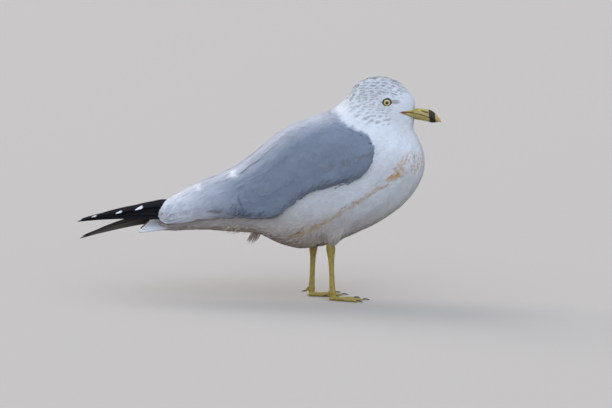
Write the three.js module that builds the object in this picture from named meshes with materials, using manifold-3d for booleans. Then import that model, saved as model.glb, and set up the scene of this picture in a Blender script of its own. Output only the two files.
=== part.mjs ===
// Ring-billed gull, an adult in winter plumage, standing at rest with its wings folded.
// Millimetres. +X points towards the bill, +Y to the bird's left and +Z up. The origin is on the ground,
// under the middle of the bird's length and width.
//
// One loft between a line along the back and a line along the belly makes the body, from the face to the
// coverts round the tail. Thin partings divide it into head, neck, trunk and rump. The folded wings are
// solids over that loft, and the long feathers of wing tips and tail are thin curved blades.
import * as THREE from "three";
import { mergeVertices } from "three/addons/utils/BufferGeometryUtils.js";
import Module from "manifold-3d";

const wasm = await Module();
wasm.setup();

// ---- Driving dimensions ----
const GAP = 0.3; // between pieces that touch
const HEAD_TURN = THREE.MathUtils.degToRad(-9); // the bill points a little to the bird's right
const NECK_AXIS_X = 132; // the upright line that the head turns about
const EYE_RADIUS = 7;
const EYE_PLACE = { x: 155.8, y: 16.5, z: 237.6 }; // before the head turns
const HEEL_HEIGHT = 64;
const ANKLE_HEIGHT = 8;
const ANKLE_PARTING_HEIGHT = 15;
const FEET = {
  right: { side: -1, y: -21, heelX: 86, ankleX: 88.2, turnOut: 3 },
  left: { side: 1, y: 14, heelX: 65.5, ankleX: 63.2, turnOut: 3 },
};
const BACK_PARTING = 0.8; // half the gap between the two wings along the back
const WING_TIP_X = { right: -217.9, left: -216.9 };
const PRIMARY_THICKNESS = 0.8;
const PRIMARY_STEP = 1.3; // from one long wing feather to the next in the stack

// ---- Finishes of plumage and bare parts ----
const finish = (color, roughness) => new THREE.MeshStandardMaterial({ color, roughness, metalness: 0 });
const WHITE = finish("#dfe2e8", 0.9);
const PEARL_GREY = finish("#8e98a8", 0.85);
const BLACK = finish("#1b1b1f", 0.6);
const LEG_YELLOW = finish("#a4952c", 0.55);
const BILL_YELLOW = finish("#d2b73c", 0.4);
const CLAW_BLACK = finish("#1f1d1b", 0.35);
const EYE_YELLOW = finish("#d9c069", 0.1);

// ---- Solids and nodes ----

/** A closed three.js geometry with every vertex moved by place(Vector3), as a solid. */
function solid(geometry, place = (vertex) => vertex) {
  geometry.deleteAttribute("normal");
  geometry.deleteAttribute("uv");
  const position = geometry.getAttribute("position");
  for (let i = 0; i < position.count; i++) {
    const moved = place(new THREE.Vector3().fromBufferAttribute(position, i));
    position.setXYZ(i, moved.x, moved.y, moved.z);
  }
  const merged = mergeVertices(geometry, 1e-3);
  const vertProperties = merged.getAttribute("position").array;
  const triVerts = new Uint32Array(merged.index.array);
  const made = new wasm.Manifold(new wasm.Mesh({ numProp: 3, vertProperties, triVerts }));
  if (made.volume() > 0) return made;
  return new wasm.Manifold(new wasm.Mesh({ numProp: 3, vertProperties, triVerts: triVerts.reverse() }));
}

/** A named mesh of a solid. */
function node(name, shape, material) {
  const { vertProperties, triVerts } = shape.getMesh();
  const geometry = new THREE.BufferGeometry();
  geometry.setAttribute("position", new THREE.BufferAttribute(vertProperties, 3));
  geometry.setIndex(new THREE.BufferAttribute(triVerts, 1));
  geometry.computeVertexNormals();
  const mesh = new THREE.Mesh(geometry, material);
  mesh.name = name;
  return mesh;
}

const vector = (x, y, z) => new THREE.Vector3(x, y, z);
const between = THREE.MathUtils.lerp;
const signedPower = (x, n) => Math.sign(x) * Math.abs(x) ** n;
const biggestFirst = (a, b) => b.volume() - a.volume();
const middle = (shape, axis) => shape.boundingBox().min[axis] + shape.boundingBox().max[axis];

/** A smooth curve through [x, y, z] points. */
const curve = (points) => new THREE.CatmullRomCurve3(points.map((p) => vector(...p)), false, "centripetal");

/** A smooth function of t, from 0 to 1, through evenly spaced values. */
function profile(values) {
  const line = curve(values.map((value, i) => [i * 10, value, 0]));
  return (t) => {
    const value = line.getPoint(t).y;
    return Math.abs(value) < 1e-6 ? 0 : value;
  };
}

/** How far along a unit sphere's axis a vertex lies, from 0 to 1, and its angle round that axis. */
function onSphere({ x, y, z }) {
  const polar = Math.acos(THREE.MathUtils.clamp(y, -1, 1));
  return [polar / Math.PI, Math.atan2(z, x)];
}

/** Turns a point about the neck's upright axis by a share of the head's turn. */
function turned(point, share) {
  const pivot = vector(NECK_AXIS_X, 0, 0);
  return point.sub(pivot).applyAxisAngle(vector(0, 0, 1), HEAD_TURN * share).add(pivot);
}

/**
 * A closed loft of rings. Each is [top x, top z, bottom x, bottom z, half width, share of the head's turn],
 * and the first and last close to a point. fullness squares the rings: 1 is an ellipse and less is fuller.
 * grow widens them. flat presses the "top" or "bottom" half of every ring to a plane.
 */
function loft(rings, { along, around, fullness = 0.92, grow = 0, flat = "" }) {
  const top = curve(rings.map(([x, z]) => [x, 0, z]));
  const bottom = curve(rings.map(([, , x, z]) => [x, 0, z]));
  const halfWidth = profile(rings.map((ring) => ring[4]));
  const turnShare = profile(rings.map((ring) => ring[5] ?? 0));
  return solid(new THREE.SphereGeometry(1, around, along), (vertex) => {
    const [t, angle] = onSphere(vertex);
    const half = halfWidth(t);
    const high = top.getPoint(t);
    const low = bottom.getPoint(t);
    if (half === 0) return turned(high.lerp(low, 0.5), turnShare(t));
    const up = high.clone().sub(low).multiplyScalar(0.5);
    const stretch = 1 + grow / up.length();
    let rise = signedPower(Math.cos(angle), fullness);
    if (flat === "bottom") rise = 2 * Math.max(rise, 0) - 1;
    if (flat === "top") rise = 2 * Math.min(rise, 0) + 1;
    const sideways = signedPower(Math.sin(angle), fullness) * (half + grow);
    const point = high.lerp(low, 0.5).addScaledVector(up, rise * stretch);
    return turned(point.add(vector(0, sideways, 0)), turnShare(t));
  });
}

/** A closed tapering limb along stations of [x, y, z, half width towards side, half depth across that]. */
function limb(stations, side, { along, around, grow = 0 }) {
  const centre = curve(stations.map(([x, y, z]) => [x, y, z]));
  const [first, last] = [centre.points[0], centre.points.at(-1)];
  first.addScaledVector(centre.getTangent(0), -grow);
  last.addScaledVector(centre.getTangent(1), grow);
  const width = profile(stations.map((station) => station[3]));
  const depth = profile(stations.map((station) => station[4]));
  return solid(new THREE.SphereGeometry(1, around, along), (vertex) => {
    const [t, angle] = onSphere(vertex);
    const point = centre.getPoint(t);
    if (width(t) === 0) return point;
    const tangent = centre.getTangent(t);
    const sideways = side.clone().addScaledVector(tangent, -side.dot(tangent)).normalize();
    const up = vector(0, 0, 0).crossVectors(sideways, tangent);
    point.addScaledVector(sideways, Math.cos(angle) * (width(t) + grow));
    return point.addScaledVector(up, Math.sin(angle) * (depth(t) + grow));
  });
}

/** A thin sheet on surface(u, v), with u from 0 to 1 along it and v from -1 to 1 across it. */
function blade(surface, normal, thickness, along, across) {
  return solid(new THREE.BoxGeometry(1, 1, 1, along, across, 1), ({ x, y, z }) =>
    surface(x + 0.5, y * 2).addScaledVector(normal, z * thickness),
  );
}

const SIDE_REACH = 120; // past either side of the bird
const OUTLINE_STEPS = 40;

/** A prism over one side of the bird, with a smooth outline through [x, z] points. */
function sidePrism(outline, side) {
  const corners = [...outline, outline[0]].map(([x, z]) => new THREE.Vector2(x, z));
  const shape = new THREE.Shape(new THREE.SplineCurve(corners).getPoints(OUTLINE_STEPS));
  const prism = new THREE.ExtrudeGeometry(shape, { depth: SIDE_REACH, bevelEnabled: false });
  prism.rotateX(Math.PI / 2);
  return solid(prism.translate(0, side > 0 ? SIDE_REACH + BACK_PARTING : -BACK_PARTING, 0));
}

/** A shape with a thin slab taken out of it, across the bird, along a line of [x, z] points. */
function parted(shape, line) {
  const slabs = line.slice(1).map(([x1, z1], i) => {
    const [x0, z0] = line[i];
    const slab = new THREE.BoxGeometry(Math.hypot(x1 - x0, z1 - z0) + GAP, 2 * SIDE_REACH, GAP);
    slab.rotateY(-Math.atan2(z1 - z0, x1 - x0));
    return solid(slab.translate((x0 + x1) / 2, 0, (z0 + z1) / 2));
  });
  return slabs.reduce((rest, slab) => rest.subtract(slab), shape);
}

// ---- Body: rings from the face over the head, down the neck and back to the tail coverts ----
const BODY_RINGS = [
  [190.4, 224.4, 190.4, 224.4, 0, 1],
  [190.2, 231.8, 186.6, 216.4, 6.8, 1], // where the bill springs from the face
  [184.4, 243.6, 185.6, 212.4, 10.4, 1],
  [176.6, 253.8, 184.8, 208.8, 13.2, 1], // forehead and chin
  [164.4, 262.8, 184.6, 205.4, 16, 1],
  [148.8, 267.4, 185.6, 202, 19.4, 1], // crown
  [130.8, 266, 188, 198.4, 22.6, 0.95],
  [116.4, 258.4, 191.4, 193.4, 25, 0.8],
  [106.8, 247, 194.4, 187.2, 29.5, 0.55], // nape and throat
  [98.4, 235.8, 197.2, 179.4, 37, 0.3],
  [85.2, 227.2, 199.2, 168.4, 47, 0.12],
  [66, 219.6, 198.6, 154, 54, 0], // mantle and fore breast
  [44.4, 211.6, 193.2, 139, 56.5, 0],
  [25.2, 201.6, 182.4, 122.2, 56, 0],
  [4, 183, 165.6, 106, 54, 0],
  [-16, 165, 142.8, 91.2, 50, 0],
  [-34, 151, 115.2, 78.4, 45, 0],
  [-50, 138, 87.6, 66.8, 39.5, 0], // back and belly
  [-60, 130, 58.8, 60.2, 34, 0],
  [-68, 123.5, 31.2, 64.8, 29.5, 0],
  [-76, 117.5, 9, 77, 25.5, 0],
  [-84, 112, -14, 80.4, 22.5, 0], // rump and vent
  [-93, 107, -40, 82, 20.5, 0],
  [-103, 102.4, -66, 84, 18.5, 0],
  [-113, 98.4, -90, 83.6, 17, 0],
  [-122, 94.4, -110, 82.4, 15, 0], // coverts above and below the tail
  [-129, 87.4, -129, 87.4, 0, 0],
];
const BODY_DETAIL = { along: 34, around: 16 };
const HEAD_PARTING = [[80, 266], [215, 168]];
const NECK_PARTING = [[40, 243], [240, 131]];
const RUMP_PARTING = [[-70, 160], [40, 40]];
const body = loft(BODY_RINGS, BODY_DETAIL);
const roomForBody = loft(BODY_RINGS, { ...BODY_DETAIL, grow: GAP });

/** Head, neck, trunk and rump, with room for all that is set into them. */
function fleshNodes(setIn) {
  const whole = setIn.reduce((rest, piece) => rest.subtract(piece), body);
  const divided = [HEAD_PARTING, NECK_PARTING, RUMP_PARTING].reduce(parted, whole);
  const [head, neck, trunk, rump] = divided
    .decompose()
    .sort(biggestFirst)
    .slice(0, 4)
    .sort((a, b) => middle(b, 0) + middle(b, 2) - middle(a, 0) - middle(a, 2));
  return [
    node("head", head, WHITE),
    node("neck", neck, WHITE),
    node("trunk", trunk, WHITE),
    node("rump", rump, WHITE),
  ];
}

// ---- Bill: an upper and a lower half, which part along the line of the mouth back to its corners ----
const UPPER_BILL_RINGS = [
  [177, 225, 177, 225, 0, 1],
  [184, 228.4, 184, 222.2, 8.6, 1],
  [191.6, 232.4, 191.6, 220.2, 6.2, 1], // edge of the feathers
  [198.2, 229.8, 198.8, 218.6, 5.2, 1],
  [205.6, 227, 206.2, 216.6, 4.5, 1],
  [211.2, 223, 212, 214.8, 3.6, 1],
  [215.6, 218, 216, 213, 2.4, 1],
  [218.9, 211.4, 218.9, 211.4, 0, 1], // hooked tip
];
const LOWER_BILL_RINGS = [
  [177, 222, 177, 222, 0, 1],
  [184.6, 221.2, 185.4, 216.8, 8, 1],
  [193.2, 219.5, 193.6, 215, 5.6, 1],
  [201.6, 217.4, 201.8, 213.2, 4.5, 1],
  [207.2, 215.8, 207.4, 211.2, 3.8, 1], // the angle of the underside
  [212.4, 214.1, 212.6, 211.6, 2.6, 1],
  [216.4, 212.4, 216.4, 212.4, 0, 1],
];
const BILL_DETAIL = { along: 11, around: 9 };
const UPPER_GAPE = [[170.8, 226], [181, 223.5], [189, 221], [189, 227], [181, 226.4]];
const LOWER_GAPE = [[171.2, 225.4], [181, 220.6], [189, 217.6], [189, 220.3], [181, 222.9]];
const NOSTRIL = { from: [195.8, 223.6], to: [203.2, 221.4], halfHeight: 0.8, depth: 2.4, insideY: 3.2 };

/** Corners listed anticlockwise, as [x, z], with each side of their outline moved out by grow. */
function widened(corners, grow) {
  const outward = (from, to) => new THREE.Vector2(to[1] - from[1], from[0] - to[0]).normalize();
  return corners.map((corner, i) => {
    const before = outward(corners.at(i - 1), corner);
    const after = outward(corner, corners[(i + 1) % corners.length]);
    const reach = grow / (1 + before.dot(after));
    return new THREE.Vector2(...corner).addScaledVector(before.add(after), reach);
  });
}

/** The wedge of one half of the bill that runs back through the cheeks to the corners of the mouth. */
function gape(corners, grow = 0) {
  const shape = new THREE.Shape(widened(corners, grow));
  const wedge = new THREE.ExtrudeGeometry(shape, { depth: 2 * SIDE_REACH, bevelEnabled: false });
  wedge.rotateX(Math.PI / 2).translate(0, SIDE_REACH, 0);
  return solid(wedge, (vertex) => turned(vertex, 1));
}

const upperBill = (grow = 0) => loft(UPPER_BILL_RINGS, { ...BILL_DETAIL, flat: "bottom", grow });
const lowerBill = (grow = 0) => loft(LOWER_BILL_RINGS, { ...BILL_DETAIL, flat: "top", grow });

/** The slot of one nostril, sunk into the side of the upper bill. */
function nostril(side) {
  const { from, to, halfHeight, depth, insideY } = NOSTRIL;
  const length = Math.hypot(to[0] - from[0], to[1] - from[1]);
  const slot = new THREE.CapsuleGeometry(halfHeight, length, 2, 6).rotateZ(Math.PI / 2).scale(1, depth, 1);
  slot.rotateY(-Math.atan2(to[1] - from[1], to[0] - from[0]));
  slot.translate((from[0] + to[0]) / 2, side * (insideY + depth * halfHeight), (from[1] + to[1]) / 2);
  return solid(slot, (vertex) => turned(vertex, 1));
}

function billNodes() {
  const nostrils = nostril(-1).add(nostril(1));
  const upper = upperBill().subtract(nostrils).add(gape(UPPER_GAPE).intersect(body));
  const lower = lowerBill().add(gape(LOWER_GAPE).intersect(body));
  return [node("bill_upper", upper, BILL_YELLOW), node("bill_lower", lower, BILL_YELLOW)];
}

/** Room in the face for the roots of the bill. */
const roomForBill = () =>
  upperBill(GAP).add(lowerBill(GAP)).add(gape(UPPER_GAPE, GAP)).add(gape(LOWER_GAPE, GAP));

// ---- Eyes ----
function eye(side, grow = 0) {
  const ball = new THREE.SphereGeometry(EYE_RADIUS + grow, 10, 6).rotateX(Math.PI / 2);
  ball.translate(EYE_PLACE.x, side * EYE_PLACE.y, EYE_PLACE.z);
  return solid(ball, (vertex) => turned(vertex, 1));
}

// ---- Folded wings: from the shoulder to the ends of the innermost long feathers ----
// How far the wing stands above the back and outside the flank, for each body ring from the shoulder on.
const SHOULDER_RING = 9;
const WING_STANDS_OFF = [
  [0, 1.5], [0.2, 3], [0.6, 4.2], [1.2, 5], [1.4, 5.6], [2.6, 6.4], [4.2, 7.4], [6.4, 8.6], [12, 10],
  [16, 11.5], [19.4, 13], [21.4, 14], [22.6, 14.5], [22.2, 14.2], [21.4, 13.5], [19.4, 12.5], [14, 11],
  [4, 0],
];
const WING_OUTLINE = [
  [137, 186], [133, 197], [120, 205], [95, 211], [60, 216], [30, 214], [0, 200], [-30, 176], [-60, 160],
  [-90, 144], [-108, 131], [-118, 115], [-123, 103.5], [-117, 98], [-98, 96.5], [-78, 98.5], [-55, 104.5],
  [-30, 102.5], [0, 101.5], [20, 102.5], [32, 113], [50, 128], [72, 139.5], [100, 146.5], [118, 151],
  [128, 158.5], [134.5, 171],
];
const SCAPULAR_PARTING = [[150, 186], [92, 167.5], [40, 151], [-16, 128]]; // scapulars lie over the coverts
const TERTIAL_PARTING = [[16, 220], [-16, 128], [-26, 90]];
const TERTIAL_THICKNESS = 2.4;
const HOLLOW_OPENING = 14;
const HOLLOW_DETAIL = { along: 20, around: 10 };

/** The outer form of both folded wings round the body. */
function wingForm(grow = 0) {
  const rings = BODY_RINGS.map(([topX, topZ, bottomX, bottomZ, half, turn], i) => {
    const [rise, spread] = WING_STANDS_OFF[i - SHOULDER_RING] ?? [0, 0];
    const tipRise = i === BODY_RINGS.length - 1 ? rise : 0;
    return [topX, topZ + rise, bottomX, bottomZ + tipRise, half + spread, turn];
  });
  return loft(rings, { ...BODY_DETAIL, grow });
}

/** The room between tertials and rump, open below and behind. */
function hollow(shrink = 0) {
  const depth = TERTIAL_THICKNESS + shrink;
  const rings = BODY_RINGS.map(([topX, topZ, bottomX, bottomZ, half], i) => {
    const [rise, spread] = WING_STANDS_OFF[i - SHOULDER_RING] ?? [0, 0];
    const opening = i === BODY_RINGS.length - 1 ? HOLLOW_OPENING : 0;
    if (half === 0) return [topX - opening, topZ, bottomX - opening, bottomZ, 0];
    return [topX, topZ + rise - depth, bottomX, bottomZ, half + spread - depth];
  });
  return loft(rings, HOLLOW_DETAIL);
}

function wingNodes(name, side) {
  const whole = wingForm().intersect(sidePrism(WING_OUTLINE, side)).subtract(roomForBody);
  const divided = parted(parted(whole, SCAPULAR_PARTING), TERTIAL_PARTING);
  const three = divided.decompose().sort(biggestFirst).slice(0, 3);
  const [tertials, ...front] = three.sort((a, b) => middle(a, 0) - middle(b, 0));
  const [scapulars, coverts] = front.sort((a, b) => middle(b, 2) - middle(a, 2));
  return [
    node(`${name}_scapulars`, scapulars, PEARL_GREY),
    node(`${name}_coverts`, coverts, PEARL_GREY),
    node(`${name}_tertials`, tertials.subtract(hollow()), PEARL_GREY),
  ];
}

// ---- Wing tips: the five outer primaries of each wing, in a curved stack behind the tertials ----
// Each has its number, its shaft's place across the stack at start and tip, and how far back it reaches.
const PRIMARIES = [
  { number: 10, start: 0, tip: 0, reach: 1 },
  { number: 9, start: 5.5, tip: 0.8, reach: 0.975 },
  { number: 8, start: 11.5, tip: 1, reach: 0.84 },
  { number: 7, start: 16.5, tip: 1.5, reach: 0.573 },
  { number: 6, start: 18, tip: 4, reach: 0.36 },
];
const WING_TIPS = {
  right: { side: -1, start: [-108, -23, 105.6], tip: [WING_TIP_X.right, -11, 94.2], tilt: 40 },
  left: { side: 1, start: [-108, 23, 98.6], tip: [WING_TIP_X.left, 16, 70.6], tilt: 34 },
};
const OUTER_VANE = 4.5; // the narrow half of a primary, towards the wing's leading edge
const INNER_VANE = 12;
const VANE_TAPER = 0.6; // the vanes narrow as this power of the distance to the feather's tip
const VANE_END = 0.03; // share of its width left at the very tip
const STACK_MIDDLE = 9; // across the stack, where it is highest
const STACK_CURVE = 0.012; // how fast its sides fall away
const PRIMARY_BOW = 42; // each feather bends down towards its tip
const WING_REACH = 600; // past the wing tips on either side

function primaryNodes(name, { side, start, tip, tilt }) {
  const root = vector(...start);
  const along = vector(...tip).sub(root);
  const length = along.length();
  along.normalize();
  const angle = THREE.MathUtils.degToRad(tilt);
  const across = vector(0, -side * Math.cos(angle), Math.sin(angle));
  across.addScaledVector(along, -across.dot(along)).normalize();
  const outward = vector(0, 0, 0).crossVectors(across, along).multiplyScalar(-side);
  const outline = sidePrism(WING_OUTLINE, side).translate([-2 * GAP, 0, 0]);
  const roomForWing = wingForm(GAP).intersect(outline).subtract(hollow(GAP));
  const half = new THREE.BoxGeometry(WING_REACH, SIDE_REACH, WING_REACH);
  const ownHalf = solid(half.translate(0, side * (SIDE_REACH / 2 + BACK_PARTING), 0));
  return PRIMARIES.map((feather, i) => {
    const surface = (u, v) => {
      const share = u * feather.reach;
      const taper = Math.min(1, 1.25 * (1 - u) ** VANE_TAPER + VANE_END);
      const bow = PRIMARY_BOW * share ** 2 * (1 - share);
      const shaft = between(feather.start, feather.tip, u ** 1.5) + bow;
      const place = shaft + v * taper * (v < 0 ? OUTER_VANE : INNER_VANE);
      const height = i * PRIMARY_STEP - STACK_CURVE * (place - STACK_MIDDLE) ** 2;
      const point = root.clone().addScaledVector(along, share * length);
      return point.addScaledVector(across, place).addScaledVector(outward, height);
    };
    const closerToTip = (s) => 1 - (1 - s) ** 1.4;
    const whole = blade((s, v) => surface(closerToTip(s), v), outward, PRIMARY_THICKNESS, 8, 2);
    const [shown] = whole.intersect(ownHalf).subtract(roomForWing).decompose().sort(biggestFirst);
    return node(`${name}_primary_${feather.number}`, shown, BLACK);
  });
}

// ---- Tail: twelve feathers closed into one arched fan with a shallow notch ----
const TAIL = { baseX: -88, tipX: -142.6, baseZ: 96, tipZ: 91, halfBase: 12, halfTip: 21 };
const TAIL_ARCH = 7;
const TAIL_THICKNESS = 2;
const TAIL_NOTCH = 5.6; // how much longer the outermost feathers are

function tail(grow = 0) {
  const surface = (u, v) =>
    vector(
      between(TAIL.baseX, TAIL.tipX, u) - TAIL_NOTCH * v * v * u,
      v * (between(TAIL.halfBase, TAIL.halfTip, u) + grow),
      between(TAIL.baseZ, TAIL.tipZ, u) - TAIL_ARCH * v * v,
    );
  return blade(surface, vector(0, 0, 1), TAIL_THICKNESS + 2 * grow, 5, 8);
}

// ---- Legs: the feathered drumstick, the bare shank and the webbed foot with its claws ----
const ACROSS_BIRD = vector(0, 1, 0);

/** The drumstick, from the knee inside the flank feathers down to the heel. */
function drumstick({ side, y, heelX }, grow = 0) {
  const stations = [
    [heelX + 25, side * 24, 116, 0, 0],
    [heelX + 18, side * 23, 103, 13, 15],
    [heelX + 9, side * 20.5, 87, 11.5, 13],
    [heelX + 2, y, 73, 7, 8],
    [heelX, y, HEEL_HEIGHT - 2, 0, 0],
  ];
  return limb(stations, ACROSS_BIRD, { along: 9, around: 10, grow });
}

// Height, half width and half depth of the shank.
const SHANK_STATIONS = [
  [2.6, 0, 0], [6, 3.2, 4.4], [11, 2.9, 4], [20, 2.4, 3.4], [34, 2.3, 3.2], [48, 2.6, 3.6],
  [56, 3.4, 4.8], [62, 4.2, 5.6], [67, 4, 5.2], [73, 3, 3.6], [77, 0, 0],
];

/** The scaly shank, thick at the heel joint and at the ankle. */
function shank({ y, heelX, ankleX }) {
  const stations = SHANK_STATIONS.map(([z, halfWidth, halfDepth]) => {
    const x = between(ankleX, heelX, (z - ANKLE_HEIGHT) / (HEEL_HEIGHT - ANKLE_HEIGHT));
    return [x, y, z, halfWidth, halfDepth];
  });
  return limb(stations, ACROSS_BIRD, { along: 12, around: 8 });
}

// The front toes: angle outward from straight ahead in degrees, length, and half thickness at the root.
const TOES = [
  { name: "inner", angle: -26, length: 31, half: 2.1 },
  { name: "middle", angle: 2, length: 39.5, half: 2.4 },
  { name: "outer", angle: 30, length: 37, half: 2.2 },
];
const HIND_TOE = { angle: 172, height: 10.5, drop: 4, start: 1.5, length: 8.5, half: 1.7 };
const CLAW = { length: 5.6, half: 1, drop: 0.9, height: 1.7 };
const HIND_CLAW = { length: 4, half: 0.8, drop: 2 };
const FOOT_REACH = 50;
const WEB_THICKNESS = 1.2;
const WEB_REACH = 0.94; // share of each toe's length that the web joins
const WEB_HOLLOW = 0.4; // how far the web's free edge curves in between two toes

function heading(degrees, side) {
  const angle = THREE.MathUtils.degToRad(degrees) * side;
  return vector(Math.cos(angle), Math.sin(angle), 0);
}

const acrossFrom = ({ x, y }) => vector(-y, x, 0).normalize();

/** A straight limb along a level heading, with stations of [distance, height, half width, half depth]. */
function pointing(direction, stations, detail) {
  const path = stations.map(([distance, z, width, depth]) => {
    const { x, y } = direction.clone().multiplyScalar(distance);
    return [x, y, z, width, depth];
  });
  return limb(path, acrossFrom(direction), detail);
}

function toe(side, { angle, length, half }) {
  const stations = [
    [-5.4, 1.6, 0, 0], [-1, 2.4, 1.6, 1.5], [0.25 * length, 2.1, 1, 1],
    [0.45 * length, 1.9, 1.12, 0.95], [0.62 * length, 1.6, 0.86, 0.8], [0.82 * length, 1.6, 0.96, 0.8],
    [length, 1.5, 0, 0],
  ].map(([distance, height, width, depth]) => [distance, height, width * half, depth * half]);
  return pointing(heading(angle, side), stations, { along: 7, around: 6 });
}

function webs(side) {
  const corners = TOES.map(({ angle, length }) => heading(angle, side).multiplyScalar(length * WEB_REACH));
  const outline = new THREE.Shape().moveTo(0, 0).lineTo(corners[0].x, corners[0].y);
  for (const i of [1, 2]) {
    const hollow = corners[i - 1].clone().add(corners[i]).multiplyScalar(WEB_HOLLOW);
    outline.quadraticCurveTo(hollow.x, hollow.y, corners[i].x, corners[i].y);
  }
  const options = { depth: WEB_THICKNESS, bevelEnabled: false, curveSegments: 3 };
  return solid(new THREE.ExtrudeGeometry(outline, options));
}

function claw(direction, distance, height, { length, half, drop }) {
  const stations = [
    [distance, height, 0, 0], [distance + 0.2 * length, height + 0.1, half, half],
    [distance + 0.6 * length, height - 0.3 * drop, 0.7 * half, 0.7 * half],
    [distance + length, height - drop, 0, 0],
  ];
  return pointing(direction, stations, { along: 4, around: 6 });
}

/** One leg: the shank and foot are one form, parted above the ankle, with the claws set before the toes. */
function legNodes(name, foot) {
  const { side, y, ankleX, turnOut } = foot;
  const onLeg = (shape) => shape.rotate([0, 0, side * turnOut]).translate([ankleX, y, 0]);
  const { angle, height, drop, start, length, half } = HIND_TOE;
  const hindward = heading(angle, side);
  const hindStations = [
    [start, height, 0, 0],
    [start + 2, height, half, half],
    [length - 2, height - 0.8 * drop, 0.8 * half, 0.8 * half],
    [length, height - drop, 0, 0],
  ];
  const hindToe = pointing(hindward, hindStations, { along: 6, around: 6 });
  const toes = TOES.map((each) => toe(side, each));
  const ground = solid(new THREE.BoxGeometry(4 * FOOT_REACH, 6 * FOOT_REACH, 20).translate(ankleX, 0, -10));
  const footForm = onLeg([webs(side), hindToe, ...toes].reduce((joined, piece) => joined.add(piece)));
  const leg = shank(foot).add(footForm).subtract(ground);
  const shown = leg.subtract(roomForBody).subtract(drumstick(foot, GAP));
  const ankleLine = [-1, 1].map((end) => [ankleX + end * FOOT_REACH, ANKLE_PARTING_HEIGHT]);
  const two = parted(shown, ankleLine).decompose().sort(biggestFirst).slice(0, 2);
  const [upper, lower] = two.sort((a, b) => middle(b, 2) - middle(a, 2));
  const claws = TOES.map((each) => {
    const shape = claw(heading(each.angle, side), each.length + GAP, CLAW.height, CLAW);
    return node(`claw_${name}_${each.name}`, onLeg(shape), CLAW_BLACK);
  });
  const hindClaw = onLeg(claw(hindward, length + GAP, height - drop, HIND_CLAW));
  return [
    node(`drumstick_${name}`, drumstick(foot), WHITE),
    node(`shank_${name}`, upper, LEG_YELLOW),
    node(`foot_${name}`, lower, LEG_YELLOW),
    ...claws,
    node(`claw_${name}_hind`, hindClaw, CLAW_BLACK),
  ];
}

// ---- Assembly ----
const setIn = [
  roomForBill(), eye(-1, GAP), eye(1, GAP), tail(GAP),
  drumstick(FEET.right, GAP), drumstick(FEET.left, GAP),
];
const gull = new THREE.Group();
gull.add(...fleshNodes(setIn), node("tail", tail(), WHITE), ...billNodes());
gull.add(node("eye_right", eye(-1), EYE_YELLOW), node("eye_left", eye(1), EYE_YELLOW));
gull.add(...wingNodes("wing_right", -1), ...wingNodes("wing_left", 1));
gull.add(...primaryNodes("wing_right", WING_TIPS.right), ...primaryNodes("wing_left", WING_TIPS.left));
gull.add(...legNodes("right", FEET.right), ...legNodes("left", FEET.left));

export default gull;
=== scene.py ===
import math
import bmesh
import bpy
import numpy as np
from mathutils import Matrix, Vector
from mathutils.bvhtree import BVHTree


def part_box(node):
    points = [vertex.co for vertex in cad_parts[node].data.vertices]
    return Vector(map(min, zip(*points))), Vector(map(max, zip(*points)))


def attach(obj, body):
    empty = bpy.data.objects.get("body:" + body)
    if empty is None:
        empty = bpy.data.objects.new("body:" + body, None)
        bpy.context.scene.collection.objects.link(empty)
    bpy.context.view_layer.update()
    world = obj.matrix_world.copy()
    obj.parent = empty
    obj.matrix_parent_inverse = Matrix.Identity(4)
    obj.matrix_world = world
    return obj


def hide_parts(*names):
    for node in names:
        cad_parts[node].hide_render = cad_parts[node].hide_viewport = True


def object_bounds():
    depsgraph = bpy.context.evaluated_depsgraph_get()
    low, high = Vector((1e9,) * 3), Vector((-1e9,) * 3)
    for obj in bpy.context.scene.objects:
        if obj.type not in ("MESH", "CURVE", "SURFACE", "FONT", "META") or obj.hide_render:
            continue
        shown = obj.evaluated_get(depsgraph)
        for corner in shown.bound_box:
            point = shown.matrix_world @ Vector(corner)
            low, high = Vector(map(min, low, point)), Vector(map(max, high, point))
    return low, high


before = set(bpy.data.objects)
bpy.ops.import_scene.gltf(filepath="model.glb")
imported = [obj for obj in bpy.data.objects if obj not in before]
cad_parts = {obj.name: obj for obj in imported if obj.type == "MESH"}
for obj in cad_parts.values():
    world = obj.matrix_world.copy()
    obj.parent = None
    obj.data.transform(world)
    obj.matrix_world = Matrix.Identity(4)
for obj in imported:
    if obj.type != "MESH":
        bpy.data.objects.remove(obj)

cad_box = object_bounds()

# ---- Skin ----
# The bird's skin over head, neck, trunk, shoulders and thighs, one closed form with no seam. It lies a
# feather's depth inside the flesh solids. The same form at its full size, with the folded wings on it, is
# what the coat of feathers lies on.
MM = 0.001
SIDES = {"right": -1, "left": 1}
HEAD_TURN = math.radians(-9)
NECK_AXIS_X = 132 * MM
FACE_X = 187 * MM  # where the bill springs from the face, before the head turns
BILL_ROOT_Z = (207 * MM, 233 * MM)
EYES = [f"eye_{side}" for side in SIDES]
BILL = ["bill_upper", "bill_lower"]
THIGHS = [f"drumstick_{side}" for side in SIDES]
BODY = ["head", "neck", "trunk", "rump"]
WINGS = [f"wing_{side}_{part}" for side in SIDES for part in ("scapulars", "coverts")]
TERTIALS = [f"wing_{side}_tertials" for side in SIDES]


def turned(points, share=1.0):
    """Points of the unturned head, turned about the neck's upright axis."""
    points = np.array(points, float)
    angle = HEAD_TURN * share
    x, y = points[..., 0] - NECK_AXIS_X, points[..., 1]
    turned_x = NECK_AXIS_X + x * np.cos(angle) - y * np.sin(angle)
    return np.stack([turned_x, x * np.sin(angle) + y * np.cos(angle), points[..., 2]], -1)


def unit(vectors):
    return vectors / np.maximum(np.linalg.norm(vectors, axis=-1, keepdims=True), 1e-12)


def dot(first, second):
    return (first * second).sum(-1, keepdims=True)


def smoothstep(low, high, value):
    share = np.clip((value - low) / (high - low), 0, 1)
    return share * share * (3 - 2 * share)


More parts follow.
